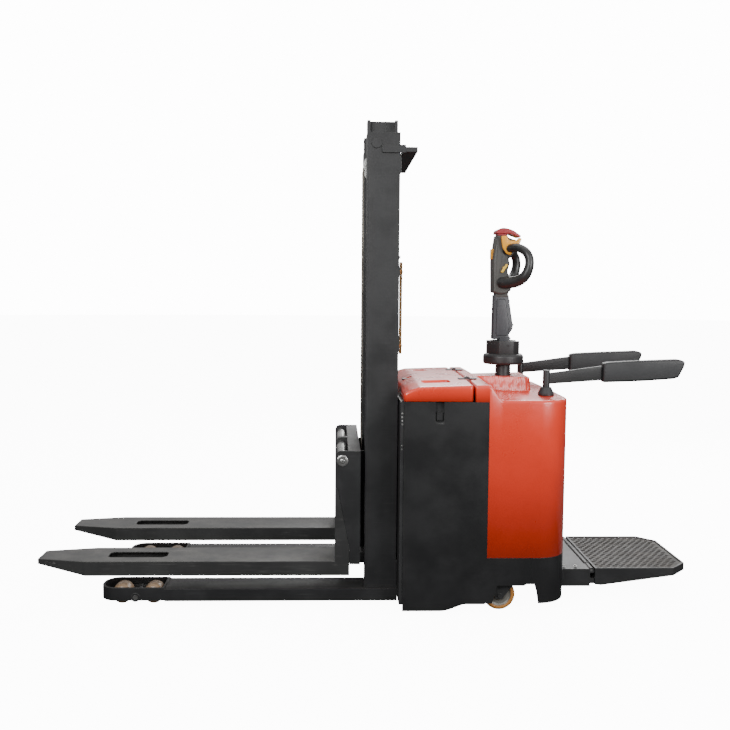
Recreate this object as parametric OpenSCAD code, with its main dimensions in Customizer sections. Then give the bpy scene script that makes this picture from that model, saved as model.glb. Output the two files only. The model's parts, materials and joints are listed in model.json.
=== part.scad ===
// Ride-on electric stacker: two-stage mast, fork carriage over straddle legs,
// battery and drive body, tiller with a handle head, folding stand-on platform.
// +Z is up, the forks point to -X, and the left side of the truck is -Y.

/* [Forks and legs] */
// Length of the forks, from heel to tip
fork_len = 1150; // [900:10:1400]
// Width over both forks
fork_span = 680; // [640:5:740]
// Width of one fork
fork_w = 190; // [170:5:210]
// Height of the fork channel
fork_h = 57; // [55:1:64]
// Plate thickness of the forks
fork_wall = 6; // [5:0.5:8]
// Height of the fork tops above the floor at rest
fork_top = 190; // [180:1:240]
// Width of each straddle leg
leg_w = 140; // [120:1:146]
// Top of the straddle legs
leg_top = 72; // [66:1:74]
// Underside of the straddle legs
leg_low = 24; // [20:1:30]
// Diameter of the load rollers
roller_d = 80; // [70:1:82]
// Width of the load rollers
roller_w = 72; // [50:1:74]
// Distance between the two load rollers of a leg
roller_gap = 123; // [100:1:140]

/* [Mast] */
// Width over the outer mast
mast_w = 600; // [560:5:640]
// Depth of the outer mast channels
mast_depth = 125; // [120:1:150]
// Top of the outer mast
mast_top = 1831; // [1700:5:2400]
// How far the inner mast stands above the outer one at rest
mast_proud = 55; // [40:1:80]
// Travel of the inner mast above its rest place
mast_stroke = 1150; // [900:10:1150]
// Diameter of the lift cylinder
cylinder_d = 60; // [50:1:60]

/* [Carriage] */
// Height of the carriage side plates above the fork undersides
carriage_h = 488; // [440:2:560]
// Diameter of the hanger shaft
shaft_d = 44; // [36:1:48]

/* [Body] */
// Width of the body
body_w = 820; // [800:5:1000]
// Length of the body behind the mast
body_len = 640; // [620:5:720]
// Top edge of the side panels
panel_top = 820; // [760:5:900]
// Sheet thickness of the covers
sheet = 3; // [2:0.5:4]
// Radius of the rear corners in plan
corner_r = 120; // [80:5:140]
// Height of the red cover's lower edge
cover_low = 222; // [200:1:260]
// Length of the battery lid
lid_len = 263; // [240:1:280]
// Height of the lid and the shoulder above the panels
lid_rise = 67; // [50:1:80]

/* [Battery] */
// Length of the battery across the truck
battery_w = 660; // [500:5:700]
// Height of the battery tray
battery_h = 640; // [500:5:700]

/* [Drive] */
// Diameter of the drive wheel
drive_d = 230; // [200:2:240]
// Width of the drive wheel
drive_w = 75; // [60:1:85]
// Diameter of the caster wheels
caster_d = 124; // [100:2:126]
// Width of the caster wheels
caster_w = 48; // [36:1:50]
// Trail of the casters behind their swivel
caster_trail = 28; // [20:1:34]

/* [Tiller] */
// Diameter of the steering column
column_d = 62; // [50:1:66]
// Height of the tiller's tilt pivot
pivot_z = 1003; // [980:1:1040]
// Height of the tiller head's lower edge
head_z = 1222; // [1180:1:1260]
// Height of the tiller head
head_h = 250; // [220:1:270]
// Width of the tiller head over the hand loops
head_w = 300; // [240:2:340]

/* [Platform] */
// Length of the standing deck
deck_len = 390; // [320:5:450]
// Width of the standing deck
deck_w = 470; // [400:5:520]
// Height of the deck's top edge
deck_top = 127; // [120:1:150]

/* [Side arms] */
// Distance between the two arm posts
post_pitch = 500; // [460:5:540]
// Diameter of the arm posts
post_d = 28; // [22:1:32]
// Length of the arm pads
pad_len = 328; // [260:2:380]

/* [Hidden] */

$fn = 64;
seat = 0.3;             // gap left where one piece rests against another
fit = 0.05;             // radial running clearance of pins and shafts

// Stations along the truck, from the fork heel
mast_front = 116;
mast_rear = mast_front + mast_depth;
body_front = mast_rear + 17;
body_rear = body_front + body_len;
lid_front = body_front - 2;
lid_rear = lid_front + lid_len;
lid_seam = 8;
mid_wall = lid_rear + lid_seam + 49;
drive_x = body_front + 445;
panel_rear = body_front + 493;
hinge_x = body_rear + 139.5;
deck_front = hinge_x + 12.5;
deck_tip = deck_front + deck_len;
heel_x = (fork_len - deck_tip) / 2;

// Forks
fork_y = (fork_span - fork_w) / 2;
fork_low = fork_top - fork_h;
heel_back = 57;
shank_t = 10;
shank_top = 540;
gusset_top = 477;
gusset_low = 242;
tip_taper = 191;
tip_inset = 40;
tip_t = 21;
tip_rise = 36;
hole_x = -773;
hole_len = 229;
hole_w = 74;

// Legs and their rollers
leg_wall = 8;
leg_end = -661;
nose_x = -911;
nose_r = 60;
nose_top = 77;
nose_wall = 10;
bogie_x = -772.5;
bogie_z = roller_d / 2;
bogie_pin_r = 10;
roller_axle_r = 8;
bogie_t = 8;
bogie_y = roller_w / 2 + 1;

// Mast sections
rail_web = 10;
rail_flange = 12;
rail_reach = 55;
inner_front = mast_front + 1;
inner_rear = mast_rear - 6;
inner_out = mast_w / 2 - 60;
inner_in = inner_out - 70;
inner_web = inner_out - 40;
inner_low = 135;
inner_top = mast_top + mast_proud;
tie_x = mast_rear - 4.5;
tie_t = 8.5;
leg_rear = tie_x + tie_t - seat;
guard_low = 989;
guard_top = 1346;
guard_y = 250;
cylinder_x = 195;
cylinder_low = 84;
cylinder_top = 1400;
rod_r = 17;
rod_low = 150;
head_bar_low = inner_top - 86;
sheave_x = 152;
sheave_r = 40;
sheave_z = 1738;
chain_y = 60;
chain_w = 16;
chain_t = 6;
link_t = 3;
anchor_z = 226;
mid_tie_z = 1002;
strand_x = sheave_x + sheave_r + chain_t / 2 + seat;
inner_link = chain_w - 2 * link_t - 2 * seat;
chain_anchor_z = 575;

// Carriage
carriage_low = fork_low + 44;
carriage_top = carriage_low + carriage_h - 44;
carriage_back = 98;
carriage_t = 12;
shaft_x = 28;
shaft_z = carriage_top - 38;
arm_y = inner_in - 5;
arm_t = 14;

// Body shell
skirt_low = 44;
panel_low = 15;
arch_top = 113;
notch_top = 119;
shoulder_z = panel_top + lid_rise;
deck_z = panel_top + 10;
plinth_rear = drive_x + 97;

bracket_top = 122;

// Drive and casters
bearing_r = 96;
bearing_h = 40;
plate_z = 330;
plate_t = 14;
motor_r = 75;
strap_y = 88;
caster_x = drive_x - 35;
caster_y = 335;
caster_plate_z = 146;
kingpin_r = 10;

// Tiller
stem_front = drive_x - 50;
cheek_y = 46;
knuckle_r = 24;
tilt_pin_r = 8;
wing_x = drive_x + 28;
wing_z = 1434;
top_slot_z = head_z + head_h - 26;

// Platform
hinge_z = 116;
knuckle = 11;
hinge_pin_r = 6;

// Lid hinges
lid_hinge_y = 200;
lid_pin_x = lid_rear + lid_seam / 2;
lid_pin_z = shoulder_z + 6;

// Side arms
post_x = body_rear - 69;
pad_x = post_x + 220;
pad_z = 882;
pad_h = 77;
pad_w = 44;

// ---- shared shapes ----

module at_heel() {
    translate([heel_x, 0, 0]) children();
}

module both_sides() {
    children();
    mirror([0, 1, 0]) children();
}

module block(x0, x1, y0, y1, z0, z1) {
    translate([x0, y0, z0]) cube([x1 - x0, y1 - y0, z1 - z0]);
}

module rod_x(x0, x1, y, z, r) {
    translate([x0, y, z]) rotate([0, 90, 0]) cylinder(r = r, h = x1 - x0);
}

module rod_y(x, y0, y1, z, r) {
    translate([x, y0, z]) rotate([-90, 0, 0]) cylinder(r = r, h = y1 - y0);
}

module rod_z(x, y, z0, z1, r) {
    translate([x, y, z0]) cylinder(r = r, h = z1 - z0);
}

// A side-view outline, in X and Z, made solid from y0 to y1
module across(y0, y1) {
    translate([0, y1, 0]) rotate([90, 0, 0]) linear_extrude(y1 - y0) children();
}

// A plan outline, in X and Y, made solid from z0 to z1
module upward(z0, z1) {
    translate([0, 0, z0]) linear_extrude(z1 - z0) children();
}

// ---- legs and load rollers ----

// Plan of the rounded nose loop, inset all round by d
module nose_plan(d) {
    r = nose_r - d;
    half = leg_w / 2 - d;
    translate([nose_x + nose_r, half - r]) circle(r);
    translate([nose_x + nose_r, r - half]) circle(r);
    translate([nose_x + d, r - half]) square([nose_r, 2 * (half - r)]);
    translate([nose_x + nose_r, -half]) square([leg_end - nose_x - nose_r, 2 * half]);
}

module leg(side) {
    color("dimgray") at_heel() translate([0, side * fork_y, 0]) difference() {
        union() {
            block(leg_end, leg_rear, -leg_w / 2, leg_w / 2, leg_low, leg_top);
            upward(leg_low + 3, nose_top) nose_plan(0);
            both_sides() rod_y(bogie_x, leg_w / 2 - 1, leg_w / 2 + 4, bogie_z, 17);
        }
        upward(leg_low - 1, nose_top + 1) difference() {
            nose_plan(nose_wall);
            translate([leg_end - leg_wall, -leg_w]) square([2 * leg_wall, 2 * leg_w]);
        }
        block(leg_end + leg_wall, leg_rear + 1, leg_wall - leg_w / 2,
              leg_w / 2 - leg_wall, leg_low + leg_wall, leg_top - leg_wall);
        rod_y(bogie_x, -leg_w, leg_w, bogie_z, bogie_pin_r + fit);
    }
}
module leg_left() leg(-1);
module leg_right() leg(1);

// A rocker plate: a bar with round ends and a round hub, seen from the side
module rocker_plan() {
    square([roller_gap, 28], center = true);
    for (s = [-1, 1]) translate([s * roller_gap / 2, 0]) circle(14);
    circle(18);
}

module bogie(side) {
    color("gray") at_heel() translate([bogie_x, side * fork_y, 0]) {
        both_sides() difference() {
            across(bogie_y, bogie_y + bogie_t) translate([0, bogie_z]) rocker_plan();
            rod_y(0, 0, leg_w, bogie_z, bogie_pin_r + fit);
        }
        for (s = [-1, 1])
            rod_y(s * roller_gap / 2, -bogie_y - 1, bogie_y + 1, bogie_z, roller_axle_r);
    }
}
module bogie_left() bogie(-1);
module bogie_right() bogie(1);

// A crowned polyurethane roller with a bore for its axle
module load_roller(side, end) {
    r = roller_d / 2;
    half = roller_w / 2;
    color("tan") at_heel()
        translate([bogie_x + end * roller_gap / 2, side * fork_y, bogie_z])
        rotate([-90, 0, 0]) rotate_extrude()
        polygon([[roller_axle_r + fit, -half], [r - 8, -half], [r - 2, 8 - half],
                 [r, 0], [r - 2, half - 8], [r - 8, half], [roller_axle_r + fit, half]]);
}
module front_roller_left() load_roller(-1, -1);
module rear_roller_left() load_roller(-1, 1);
module front_roller_right() load_roller(1, -1);
module rear_roller_right() load_roller(1, 1);

// ---- outer mast ----

// Plan of one outer channel: web outside, flanges turned inwards
module outer_rail_plan() {
    out = -mast_w / 2;
    translate([mast_front, out]) square([mast_depth, rail_web]);
    for (x = [mast_front, mast_rear - rail_flange])
        translate([x, out]) square([rail_flange, rail_reach]);
}

// A flat tie behind the two outer channels
module outer_tie(z, h) {
    block(tie_x, tie_x + tie_t, -mast_w / 2, mast_w / 2, z, z + h);
}

module outer_mast() {
    color("dimgray") at_heel() {
        both_sides() upward(leg_top, mast_top) outer_rail_plan();
        outer_tie(leg_top, 110);
        outer_tie(mid_tie_z, 60);
        outer_tie(guard_top - 56, 36);
        outer_tie(mast_top - 150, 60);
        both_sides() {
            rod_y(mast_front + 35, mast_w / 2 - rail_web, mast_w / 2 + 4, mast_top - 40, 20);
            rod_y(mast_front + 35, inner_out - 24, mast_w / 2 - rail_web,
                  mast_top - 40, 21);
        }
        // foot that carries the lift cylinder
        block(mast_front + 44, tie_x, -mast_w / 2 + rail_web, mast_w / 2 - rail_web,
              leg_top, cylinder_low);
    }
}

module mast_stay() {
    reach = mast_w / 2 + seat;
    arm_top = mast_top - 47;
    color("dimgray") at_heel() {
        both_sides() block(mast_front + 56, mast_rear + 21, reach, reach + 8,
                           arm_top - 30, arm_top);
        block(mast_rear + 11, mast_rear + 65, -reach - 8, reach + 8,
              arm_top - 27, arm_top - 8);
    }
}

// Clear screen with folded side edges
module mast_guard() {
    front = tie_x + tie_t + seat;
    color("lightblue", 0.5) at_heel() {
        block(front + 8, front + 12, -guard_y, guard_y, guard_low, guard_top);
        both_sides() block(front, front + 8, guard_y - 4, guard_y, guard_low, guard_top);
        both_sides() for (z = [mid_tie_z + 18, guard_top - 38])
            rod_x(front, front + 8, guard_y - 30, z, 7);
    }
}

module limit_switch() {
    edge = mast_w / 2 - 40;
    color("dimgray") at_heel() {
        block(mast_rear + seat, mast_rear + 5, edge - 24, edge + 12, 1348, 1438);
        block(mast_rear + 5, mast_rear + 27, edge - 14, edge + 12, 1360, 1434);
        rod_x(mast_rear + 27, mast_rear + 40, edge, 1383, 2.5);
        rod_x(mast_rear + 40, mast_rear + 44, edge, 1383, 7);
    }
}

module lift_cylinder() {
    r = cylinder_d / 2;
    color("darkslategray") at_heel() difference() {
        union() {
            rod_z(cylinder_x, 0, cylinder_low + seat, cylinder_top, r);
            // collar with ears that hold the fixed chain ends
            rod_z(cylinder_x, 0, chain_anchor_z - 24, chain_anchor_z, r + 0.5);
            block(cylinder_x - 9, cylinder_x + 9, -chain_y - 12, chain_y + 12,
                  chain_anchor_z - 16, chain_anchor_z);
        }
        rod_z(cylinder_x, 0, cylinder_low + 10, cylinder_top - 24, r - 8);
        rod_z(cylinder_x, 0, cylinder_top - 30, cylinder_top + 1, rod_r + fit);
        // slots in the ears that the climbing link plates pass through
        both_sides() block(strand_x - chain_t / 2 - seat, strand_x + chain_t / 2 + seat,
                           chain_y - inner_link / 2 - seat, chain_y + inner_link / 2 + seat,
                           chain_anchor_z - 17, chain_anchor_z + 1);
    }
}

// Plan of one leaf chain strand
module chain_plan() {
    square([chain_t, chain_w], center = true);
}

// Outer link plates of the fixed chain strands
module anchor_chains() {
    color("silver") at_heel() both_sides() for (c = [-1, 1])
        translate([strand_x, chain_y + c * (chain_w / 2 - link_t / 2), 0])
        upward(chain_anchor_z + seat, sheave_z) square([chain_t, link_t], center = true);
}

// ---- inner mast ----

// Plan of one inner rail: an I section with a rubbing strip on its web
module inner_rail_plan() {
    for (x = [inner_front, inner_rear - rail_flange])
        translate([x, inner_in]) square([rail_flange, inner_out - inner_in]);
    translate([inner_front, inner_web]) square([inner_rear - inner_front, rail_web]);
    translate([mast_front + 70, inner_web + rail_web - 0.5]) square([6, 4]);
}

module inner_mast() {
    bar_x = inner_rear - 8;
    color("dimgray") at_heel() difference() {
        union() {
            both_sides() upward(inner_low, inner_top) inner_rail_plan();
            for (z = [inner_low, 1180])
                block(bar_x, inner_rear, -inner_in - 1, inner_in + 1, z, z + 80);
            block(inner_front + 8, inner_rear - 10, -inner_in - 1, inner_in + 1,
                  head_bar_low, inner_top);
            // sheave cheeks under the head bar
            for (y = [-1, 1]) for (c = [-1, 1])
                translate([0, y * chain_y + c * (chain_w / 2 + 8), 0])
                block(sheave_x - 16, sheave_x + 16, -4, 4, sheave_z - 18,
                      head_bar_low + 1);
        }
        for (y = [-1, 1])
            rod_y(sheave_x, y * chain_y - 30, y * chain_y + 30, sheave_z,
                  8 + fit);
    }
}

module lift_rod() {
    color("silver") at_heel() {
        rod_z(cylinder_x, 0, rod_low, head_bar_low - seat, rod_r);
        rod_z(cylinder_x, 0, rod_low, rod_low + 40, cylinder_d / 2 - 8 - fit);
    }
}

module chain_sheaves() {
    half = chain_w / 2 + 3;
    color("gray") at_heel() for (y = [-1, 1]) translate([sheave_x, y * chain_y, sheave_z]) {
        rotate([-90, 0, 0]) rotate_extrude()
            polygon([[8 + fit, -half], [sheave_r + 4, -half], [sheave_r + 4, 1 - half],
                     [sheave_r, 2 - half], [sheave_r, half - 2], [sheave_r + 4, half - 1],
                     [sheave_r + 4, half], [8 + fit, half]]);
        rod_y(0, -chain_w / 2 - 14, chain_w / 2 + 14, 0, 8);
    }
    // inner link plates of the fixed strands, which climb with the sheaves
    color("silver") at_heel() both_sides() translate([strand_x, chain_y, 0])
        upward(chain_anchor_z + 2, sheave_z) square([chain_t, inner_link], center = true);
}

// Lower rollers of the inner mast, which run inside the outer channels
module mast_rollers() {
    mid = (mast_front + mast_rear) / 2;
    r = mast_depth / 2 - rail_flange - seat;
    color("silver") at_heel() both_sides() {
        rod_y(mid, inner_out + 4, mast_w / 2 - rail_web - 4, inner_low + 60, r);
        rod_y(mid, inner_web + rail_web + 3.5, inner_out + 4, inner_low + 60, 14);
    }
}

// ---- carriage and forks ----

// Side outline of the carriage plates
module carriage_plan() {
    r = 22;
    step = 0.5;
    polygon([[heel_back + step, carriage_low], [carriage_back, carriage_low],
             [carriage_back, carriage_top], [r, carriage_top], [r, shaft_z],
             [0, shaft_z], [0, gusset_top + step], [shank_t + step, gusset_top + step],
             [heel_back + step, gusset_low]]);
    translate([r, carriage_top - r]) circle(r);
    translate([0, shaft_z - 1]) square([r, carriage_top - r - shaft_z + 1]);
}

module carriage() {
    color("dimgray") at_heel() difference() {
        union() {
            both_sides() across(fork_span / 2 - carriage_t, fork_span / 2) carriage_plan();
            across(-18, 18) carriage_plan();
            block(50, carriage_back, -fork_span / 2, fork_span / 2,
                  carriage_top - 12, carriage_top);
            block(86, carriage_back, -fork_span / 2, fork_span / 2,
                  carriage_top - 150, carriage_top);
            block(86, carriage_back, -fork_span / 2, fork_span / 2,
                  carriage_low, carriage_low + 90);
            block(shank_t + seat, 24, -fork_span / 2 + 1, fork_span / 2 - 1,
                  gusset_top + 5, shank_top);
            both_sides() block(86, mast_rear - 45, arm_y - arm_t, arm_y,
                               carriage_low + 20, carriage_top - 30);
            // anchor lugs of the lift chains
            both_sides() block(carriage_back - 1, sheave_x - sheave_r + 10,
                               chain_y - 12, chain_y + 12, anchor_z - 14, anchor_z);
        }
        rod_y(shaft_x, -fork_span / 2 + carriage_t, fork_span / 2 - carriage_t, shaft_z,
              shaft_d / 2 + fit);
        rod_y(shaft_x, -fork_span, fork_span, shaft_z, 8 + fit);
    }
}

// Side outline of a fork: channel, upturned tip, heel and gusset
module fork_side() {
    polygon([[-fork_len, fork_top], [-fork_len, fork_top - tip_t],
             [tip_taper - fork_len, fork_low], [heel_back, fork_low],
             [heel_back, gusset_low], [shank_t, gusset_top], [0, gusset_top],
             [0, fork_top]]);
}

// Plan of a fork, inset all round by d, with its narrowed tip
module fork_plan(d) {
    half = fork_w / 2 - d;
    polygon([[heel_back, -half], [heel_back, half], [tip_taper - fork_len, half],
             [d * 2 - fork_len, half - tip_inset], [d * 2 - fork_len, tip_inset - half],
             [tip_taper - fork_len, -half]]);
}

// Plan of the window over the load rollers, with cut corners
module window_plan() {
    cut = 14;
    x = hole_len / 2;
    y = hole_w / 2;
    translate([hole_x, 0]) polygon([[-x + cut, -y], [x - cut, -y], [x, cut - y],
        [x, y - cut], [x - cut, y], [cut - x, y], [-x, y - cut], [-x, cut - y]]);
}

module fork(side) {
    color("dimgray") at_heel() translate([0, side * fork_y, 0]) {
        difference() {
            intersection() {
                across(-fork_w / 2, fork_w / 2) fork_side();
                upward(fork_low - 1, gusset_top + 1) fork_plan(0);
            }
            upward(fork_low - 1, fork_top - fork_wall) fork_plan(fork_wall + 2);
            upward(fork_top - fork_wall - 1, fork_top + 1) window_plan();
            block(shank_t, heel_back + 1, fork_wall + 2 - fork_w / 2,
                  fork_w / 2 - fork_wall - 2, fork_low - 1, gusset_top + 1);
        }
        block(0, shank_t, -fork_w / 2 + 14, fork_w / 2 - 14, fork_top - fork_wall, shank_top);
    }
}
module fork_left() fork(-1);
module fork_right() fork(1);

module hanger_shaft() {
    reach = fork_span / 2 - carriage_t;
    color("lightgray") at_heel() {
        rod_y(shaft_x, seat - reach, reach - seat, shaft_z, shaft_d / 2);
        both_sides() {
            rod_y(shaft_x, reach - 20, fork_span / 2 + 2, shaft_z, 8);
            rod_y(shaft_x, fork_span / 2 + seat, fork_span / 2 + 7, shaft_z, 17);
        }
    }
}

// Carriage rollers, which run inside the inner mast's channels
module carriage_rollers() {
    mid = (inner_front + inner_rear) / 2;
    r = (inner_rear - inner_front) / 2 - rail_flange - seat;
    color("silver") at_heel() both_sides() for (z = [carriage_low + 80, carriage_top - 80]) {
        rod_y(mid, inner_in + 2, inner_web - 3, z, r);
        rod_y(mid, arm_y + seat, inner_in + 2, z, 14);
    }
}

// Lift chain strands in front of the mast, with their threaded anchors
module lift_chains() {
    color("silver") at_heel() both_sides()
        translate([sheave_x - sheave_r - chain_t / 2 - seat, chain_y, 0]) {
            upward(anchor_z + seat, sheave_z) chain_plan();
            rod_z(0, 0, anchor_z - 40, anchor_z - 14 - seat, 5);
        }
}

// ---- chassis and covers ----

// Plan of the body from x0 to its rear, with rounded rear corners, inset by d
module body_plan(x0, d) {
    half = body_w / 2 - d;
    r = corner_r - d;
    x1 = body_rear - corner_r;
    intersection() {
        translate([x0, -half]) square([body_rear - x0, 2 * half]);
        union() {
            translate([0, -half]) square([x1, 2 * half]);
            translate([0, r - half]) square([body_rear - d, 2 * (half - r)]);
            for (s = [-1, 1]) translate([x1, s * (half - r)]) circle(r);
        }
    }
}

module chassis() {
    half = body_w / 2 - sheet - seat;
    rail_rear = body_rear - corner_r;
    rail_low = caster_plate_z;
    back = body_rear - 18;
    color("dimgray") at_heel() difference() {
        union() {
            // bulkhead behind the mast, and the battery floor
            block(tie_x + tie_t, body_front - seat, -half, half, leg_top + 110, panel_top);
            block(tie_x + tie_t, body_front - seat, -half, half, skirt_low, leg_top);
            both_sides() block(tie_x + tie_t, body_front - seat, mast_w / 2 + 20, half,
                               leg_top - 1, leg_top + 111);
            block(tie_x + tie_t, mid_wall, -half, half, skirt_low - 4, skirt_low + 8);
            block(mid_wall - 10, mid_wall, -half, half, skirt_low, panel_top - 30);
            // plate that carries the drive, on two side rails
            block(mid_wall - 1, back, -half + 110, half - 110, plate_z, plate_z + plate_t);
            both_sides() {
                block(mid_wall - 1, rail_rear, half - 110, half - 15, plate_z,
                      plate_z + plate_t);
                block(mid_wall - 1, rail_rear, half - 27, half - 15, rail_low, plate_z + 1);
                block(mid_wall - 1, rail_rear, caster_y - 60, half - 15, rail_low,
                      rail_low + 12);
            }
            block(back - 12, back, -half + 110, half - 110, skirt_low, plate_z + 1);
        }
        rod_z(drive_x, 0, plate_z - 1, plate_z + plate_t + 1, bearing_r);
        both_sides() rod_z(caster_x, caster_y, rail_low - 1, rail_low + 13,
                           kingpin_r + fit);
    }
}

// Side outline of a black side panel, with its wheel arch and latch slot
module panel_side() {
    step_x0 = body_front + 146;
    step_x1 = body_front + 260;
    arch_x = body_front + 345;
    difference() {
        polygon(concat(
            [[body_front, panel_top], [body_front, panel_low]],
            [for (t = [0:0.125:1])
                [step_x0 + (step_x1 - step_x0) * t,
                 panel_low + (skirt_low - panel_low) * (1 - cos(180 * t)) / 2]],
            [[arch_x, skirt_low], [arch_x + 18, arch_top], [panel_rear - 26, arch_top],
             [panel_rear - 16, notch_top], [panel_rear, notch_top],
             [panel_rear, cover_low], [mid_wall + 4, cover_low],
             [mid_wall + 4, panel_top]]));
        translate([body_front + 119, panel_top - 83]) square([32, 84]);
    }
}

module side_panel(side) {
    y = body_w / 2;
    color("#262628") at_heel() mirror([0, side < 0 ? 1 : 0, 0]) {
        across(y - sheet, y) panel_side();
        block(body_front, body_front + sheet, y - 26, y - sheet + 0.5,
              skirt_low + 8 + seat, panel_top);
        // latch pocket behind the slot, with the latch tongue in it
        difference() {
            block(body_front + 112, body_front + 158, y - 25, y - sheet - seat,
                  panel_top - 90, panel_top - 2);
            block(body_front + 115, body_front + 155, y - 22, y, panel_top - 87,
                  panel_top + 1);
        }
        block(body_front + 123, body_front + 147, y - 22.5, y - sheet - 4,
              panel_top - 70, panel_top - 40);
    }
}
module side_panel_left() side_panel(-1);
module side_panel_right() side_panel(1);

module rear_skirt() {
    gap = panel_rear + seat;
    bracket_half = deck_w / 2 - 5 + seat;
    color("#262628") at_heel() difference() {
        upward(skirt_low, cover_low) difference() {
            body_plan(gap, 0);
            translate([-1, 0]) body_plan(gap, sheet);
        }
        both_sides() across(body_w / 2 - 2 * sheet, body_w / 2 + 1) {
            translate([gap - 1, skirt_low - 1]) square([14, notch_top - skirt_low + 1]);
            translate([gap + 13, skirt_low - 1]) polygon([[0, 0], [16, 0], [8, 50], [0, 76]]);
        }
        block(body_rear - 2 * sheet, body_rear + 1, -bracket_half, bracket_half,
              skirt_low - 1, bracket_top + seat);
    }
}

// Plan of the raised plinth round the steering column, flaring rearwards
module plinth_plan(d) {
    r = 24;
    polygon([[mid_wall - 1, -60 + d], [mid_wall - 1, 60 - d], [plinth_rear - r, 126 - d],
             [plinth_rear - d, 126 - r], [plinth_rear - d, r - 126],
             [plinth_rear - r, d - 126]]);
}

// Side outline of the shoulder behind the lid, lowered by d
module shoulder_side(d) {
    low = panel_top + seat;
    polygon([[lid_rear + lid_seam, low - d], [lid_rear + lid_seam, shoulder_z - d],
             [mid_wall, shoulder_z - d], [mid_wall + 58 - d, deck_z - d],
             [mid_wall + 58 - d, low - d]]);
}

module rear_cover() {
    half = body_w / 2;
    wall = 4;
    column = column_d / 2 + 6;
    color("#d0452c") at_heel() difference() {
        union() {
            upward(cover_low + seat, deck_z) difference() {
                body_plan(mid_wall + 4 + seat, 0);
                translate([-1, 0]) body_plan(mid_wall + 4 + seat, wall);
            }
            upward(deck_z - wall, deck_z) body_plan(mid_wall + 30, 0);
            difference() {
                across(-half, half) shoulder_side(0);
                across(wall - half, half - wall) difference() {
                    shoulder_side(wall);
                    translate([lid_rear + lid_seam - 1, 0]) square([wall + 1, 2000]);
                }
            }
            upward(deck_z - wall, shoulder_z) plinth_plan(0);
        }
        upward(deck_z - 2 * wall, shoulder_z - wall) plinth_plan(wall);
        block(mid_wall - 40, mid_wall + 40, -50, 50, panel_top - 2, shoulder_z - wall);
        rod_z(drive_x, 0, deck_z - 40, shoulder_z + 1, column);
        both_sides() rod_z(post_x, post_pitch / 2, deck_z - 40, deck_z + 1,
                           post_d / 2 + 8);
    }
}

module battery_tray() {
    x0 = body_front + 6;
    x1 = mid_wall - 58;
    low = skirt_low + 8 + seat;
    half = battery_w / 2;
    color("#33363a") at_heel() difference() {
        block(x0, x1, -half, half, low, low + battery_h);
        block(x0 + 4, x1 - 4, 4 - half, half - 4, low + 4, low + battery_h + 1);
    }
}

// Twelve cells in two rows, each with its filler cap
module battery_cells() {
    x0 = body_front + 6 + 4 + seat;
    x1 = mid_wall - 58 - 4 - seat;
    low = skirt_low + 12 + 2 * seat;
    pitch_x = (x1 - x0) / 2;
    pitch_y = (battery_w - 8 - 2 * seat) / 6;
    color("#2b2b2d") at_heel() for (i = [0, 1]) for (j = [0:5])
        translate([x0 + i * pitch_x, (j - 3) * pitch_y, low]) {
            cube([pitch_x - 1, pitch_y - 1, battery_h - 30]);
            translate([pitch_x / 2, pitch_y / 2, battery_h - 31])
                cylinder(d = 34, h = 13);
        }
}

module hydraulic_unit() {
    z0 = plate_z + plate_t + seat;
    y0 = 160;
    color("#4a4d50") at_heel() {
        block(mid_wall + 20, mid_wall + 130, y0, y0 + 180, z0, z0 + 190);
        rod_z(mid_wall + 70, y0 + 60, z0 + 190, z0 + 230, 45);
        rod_z(mid_wall + 70, y0 + 60, z0 + 230, z0 + 370, 55);
    }
}

module motor_controller() {
    z0 = 420;
    color("#55585b") at_heel() {
        block(mid_wall + seat, mid_wall + 12, -340, -160, z0, z0 + 260);
        block(mid_wall + 12, mid_wall + 62, -330, -170, z0 + 10, z0 + 250);
    }
}

module steer_bearing() {
    low = plate_z - bearing_h;
    color("silver") at_heel() difference() {
        rod_z(drive_x, 0, low, plate_z - seat, bearing_r + 22);
        rod_z(drive_x, 0, low - 1, plate_z, bearing_r - 8);
    }
}

// Pins that never turn: the bogie pivots and the platform hinge
module pivot_pins() {
    color("silver") at_heel() {
        both_sides() rod_y(bogie_x, fork_y - leg_w / 2 - 3, fork_y + leg_w / 2 + 3,
                           bogie_z, bogie_pin_r);
        rod_y(hinge_x, -deck_w / 2 + 8, deck_w / 2 - 8, hinge_z, hinge_pin_r);
    }
}

module platform_bracket() {
    half = deck_w / 2 - 5;
    back = body_rear - 18 + seat;
    color("dimgray") at_heel() difference() {
        union() {
            block(back, hinge_x - 6, -half, half, 51, bracket_top);
            both_sides() {
                rod_y(hinge_x, half - 68, half, hinge_z, knuckle);
                block(hinge_x - 12, hinge_x, half - 68, half, hinge_z - knuckle,
                      hinge_z + 6);
                block(hinge_x - 8, deck_front - seat, half - 26, half, 62, 84);
            }
        }
        block(back + 8, hinge_x - 20, 8 - half, half - 8, 50, bracket_top - 6);
        block(hinge_x - knuckle - 1.5, hinge_x + 20, 72 - half, half - 72, 50,
              bracket_top + 10);
        rod_y(hinge_x, -deck_w, deck_w, hinge_z, hinge_pin_r + fit);
    }
}

// Flared sockets that carry the arm posts
module arm_sockets() {
    r = post_d / 2;
    color("#2a2a2c") at_heel() both_sides() translate([post_x, post_pitch / 2, 0])
        rotate_extrude() polygon([[r + fit, deck_z - 120], [r + 7, deck_z - 120],
            [r + 7, deck_z + seat], [r + 17, deck_z + seat], [r + 17, deck_z + 8],
            [r + 6, deck_z + 32], [r + fit, deck_z + 32]]);
}

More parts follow.
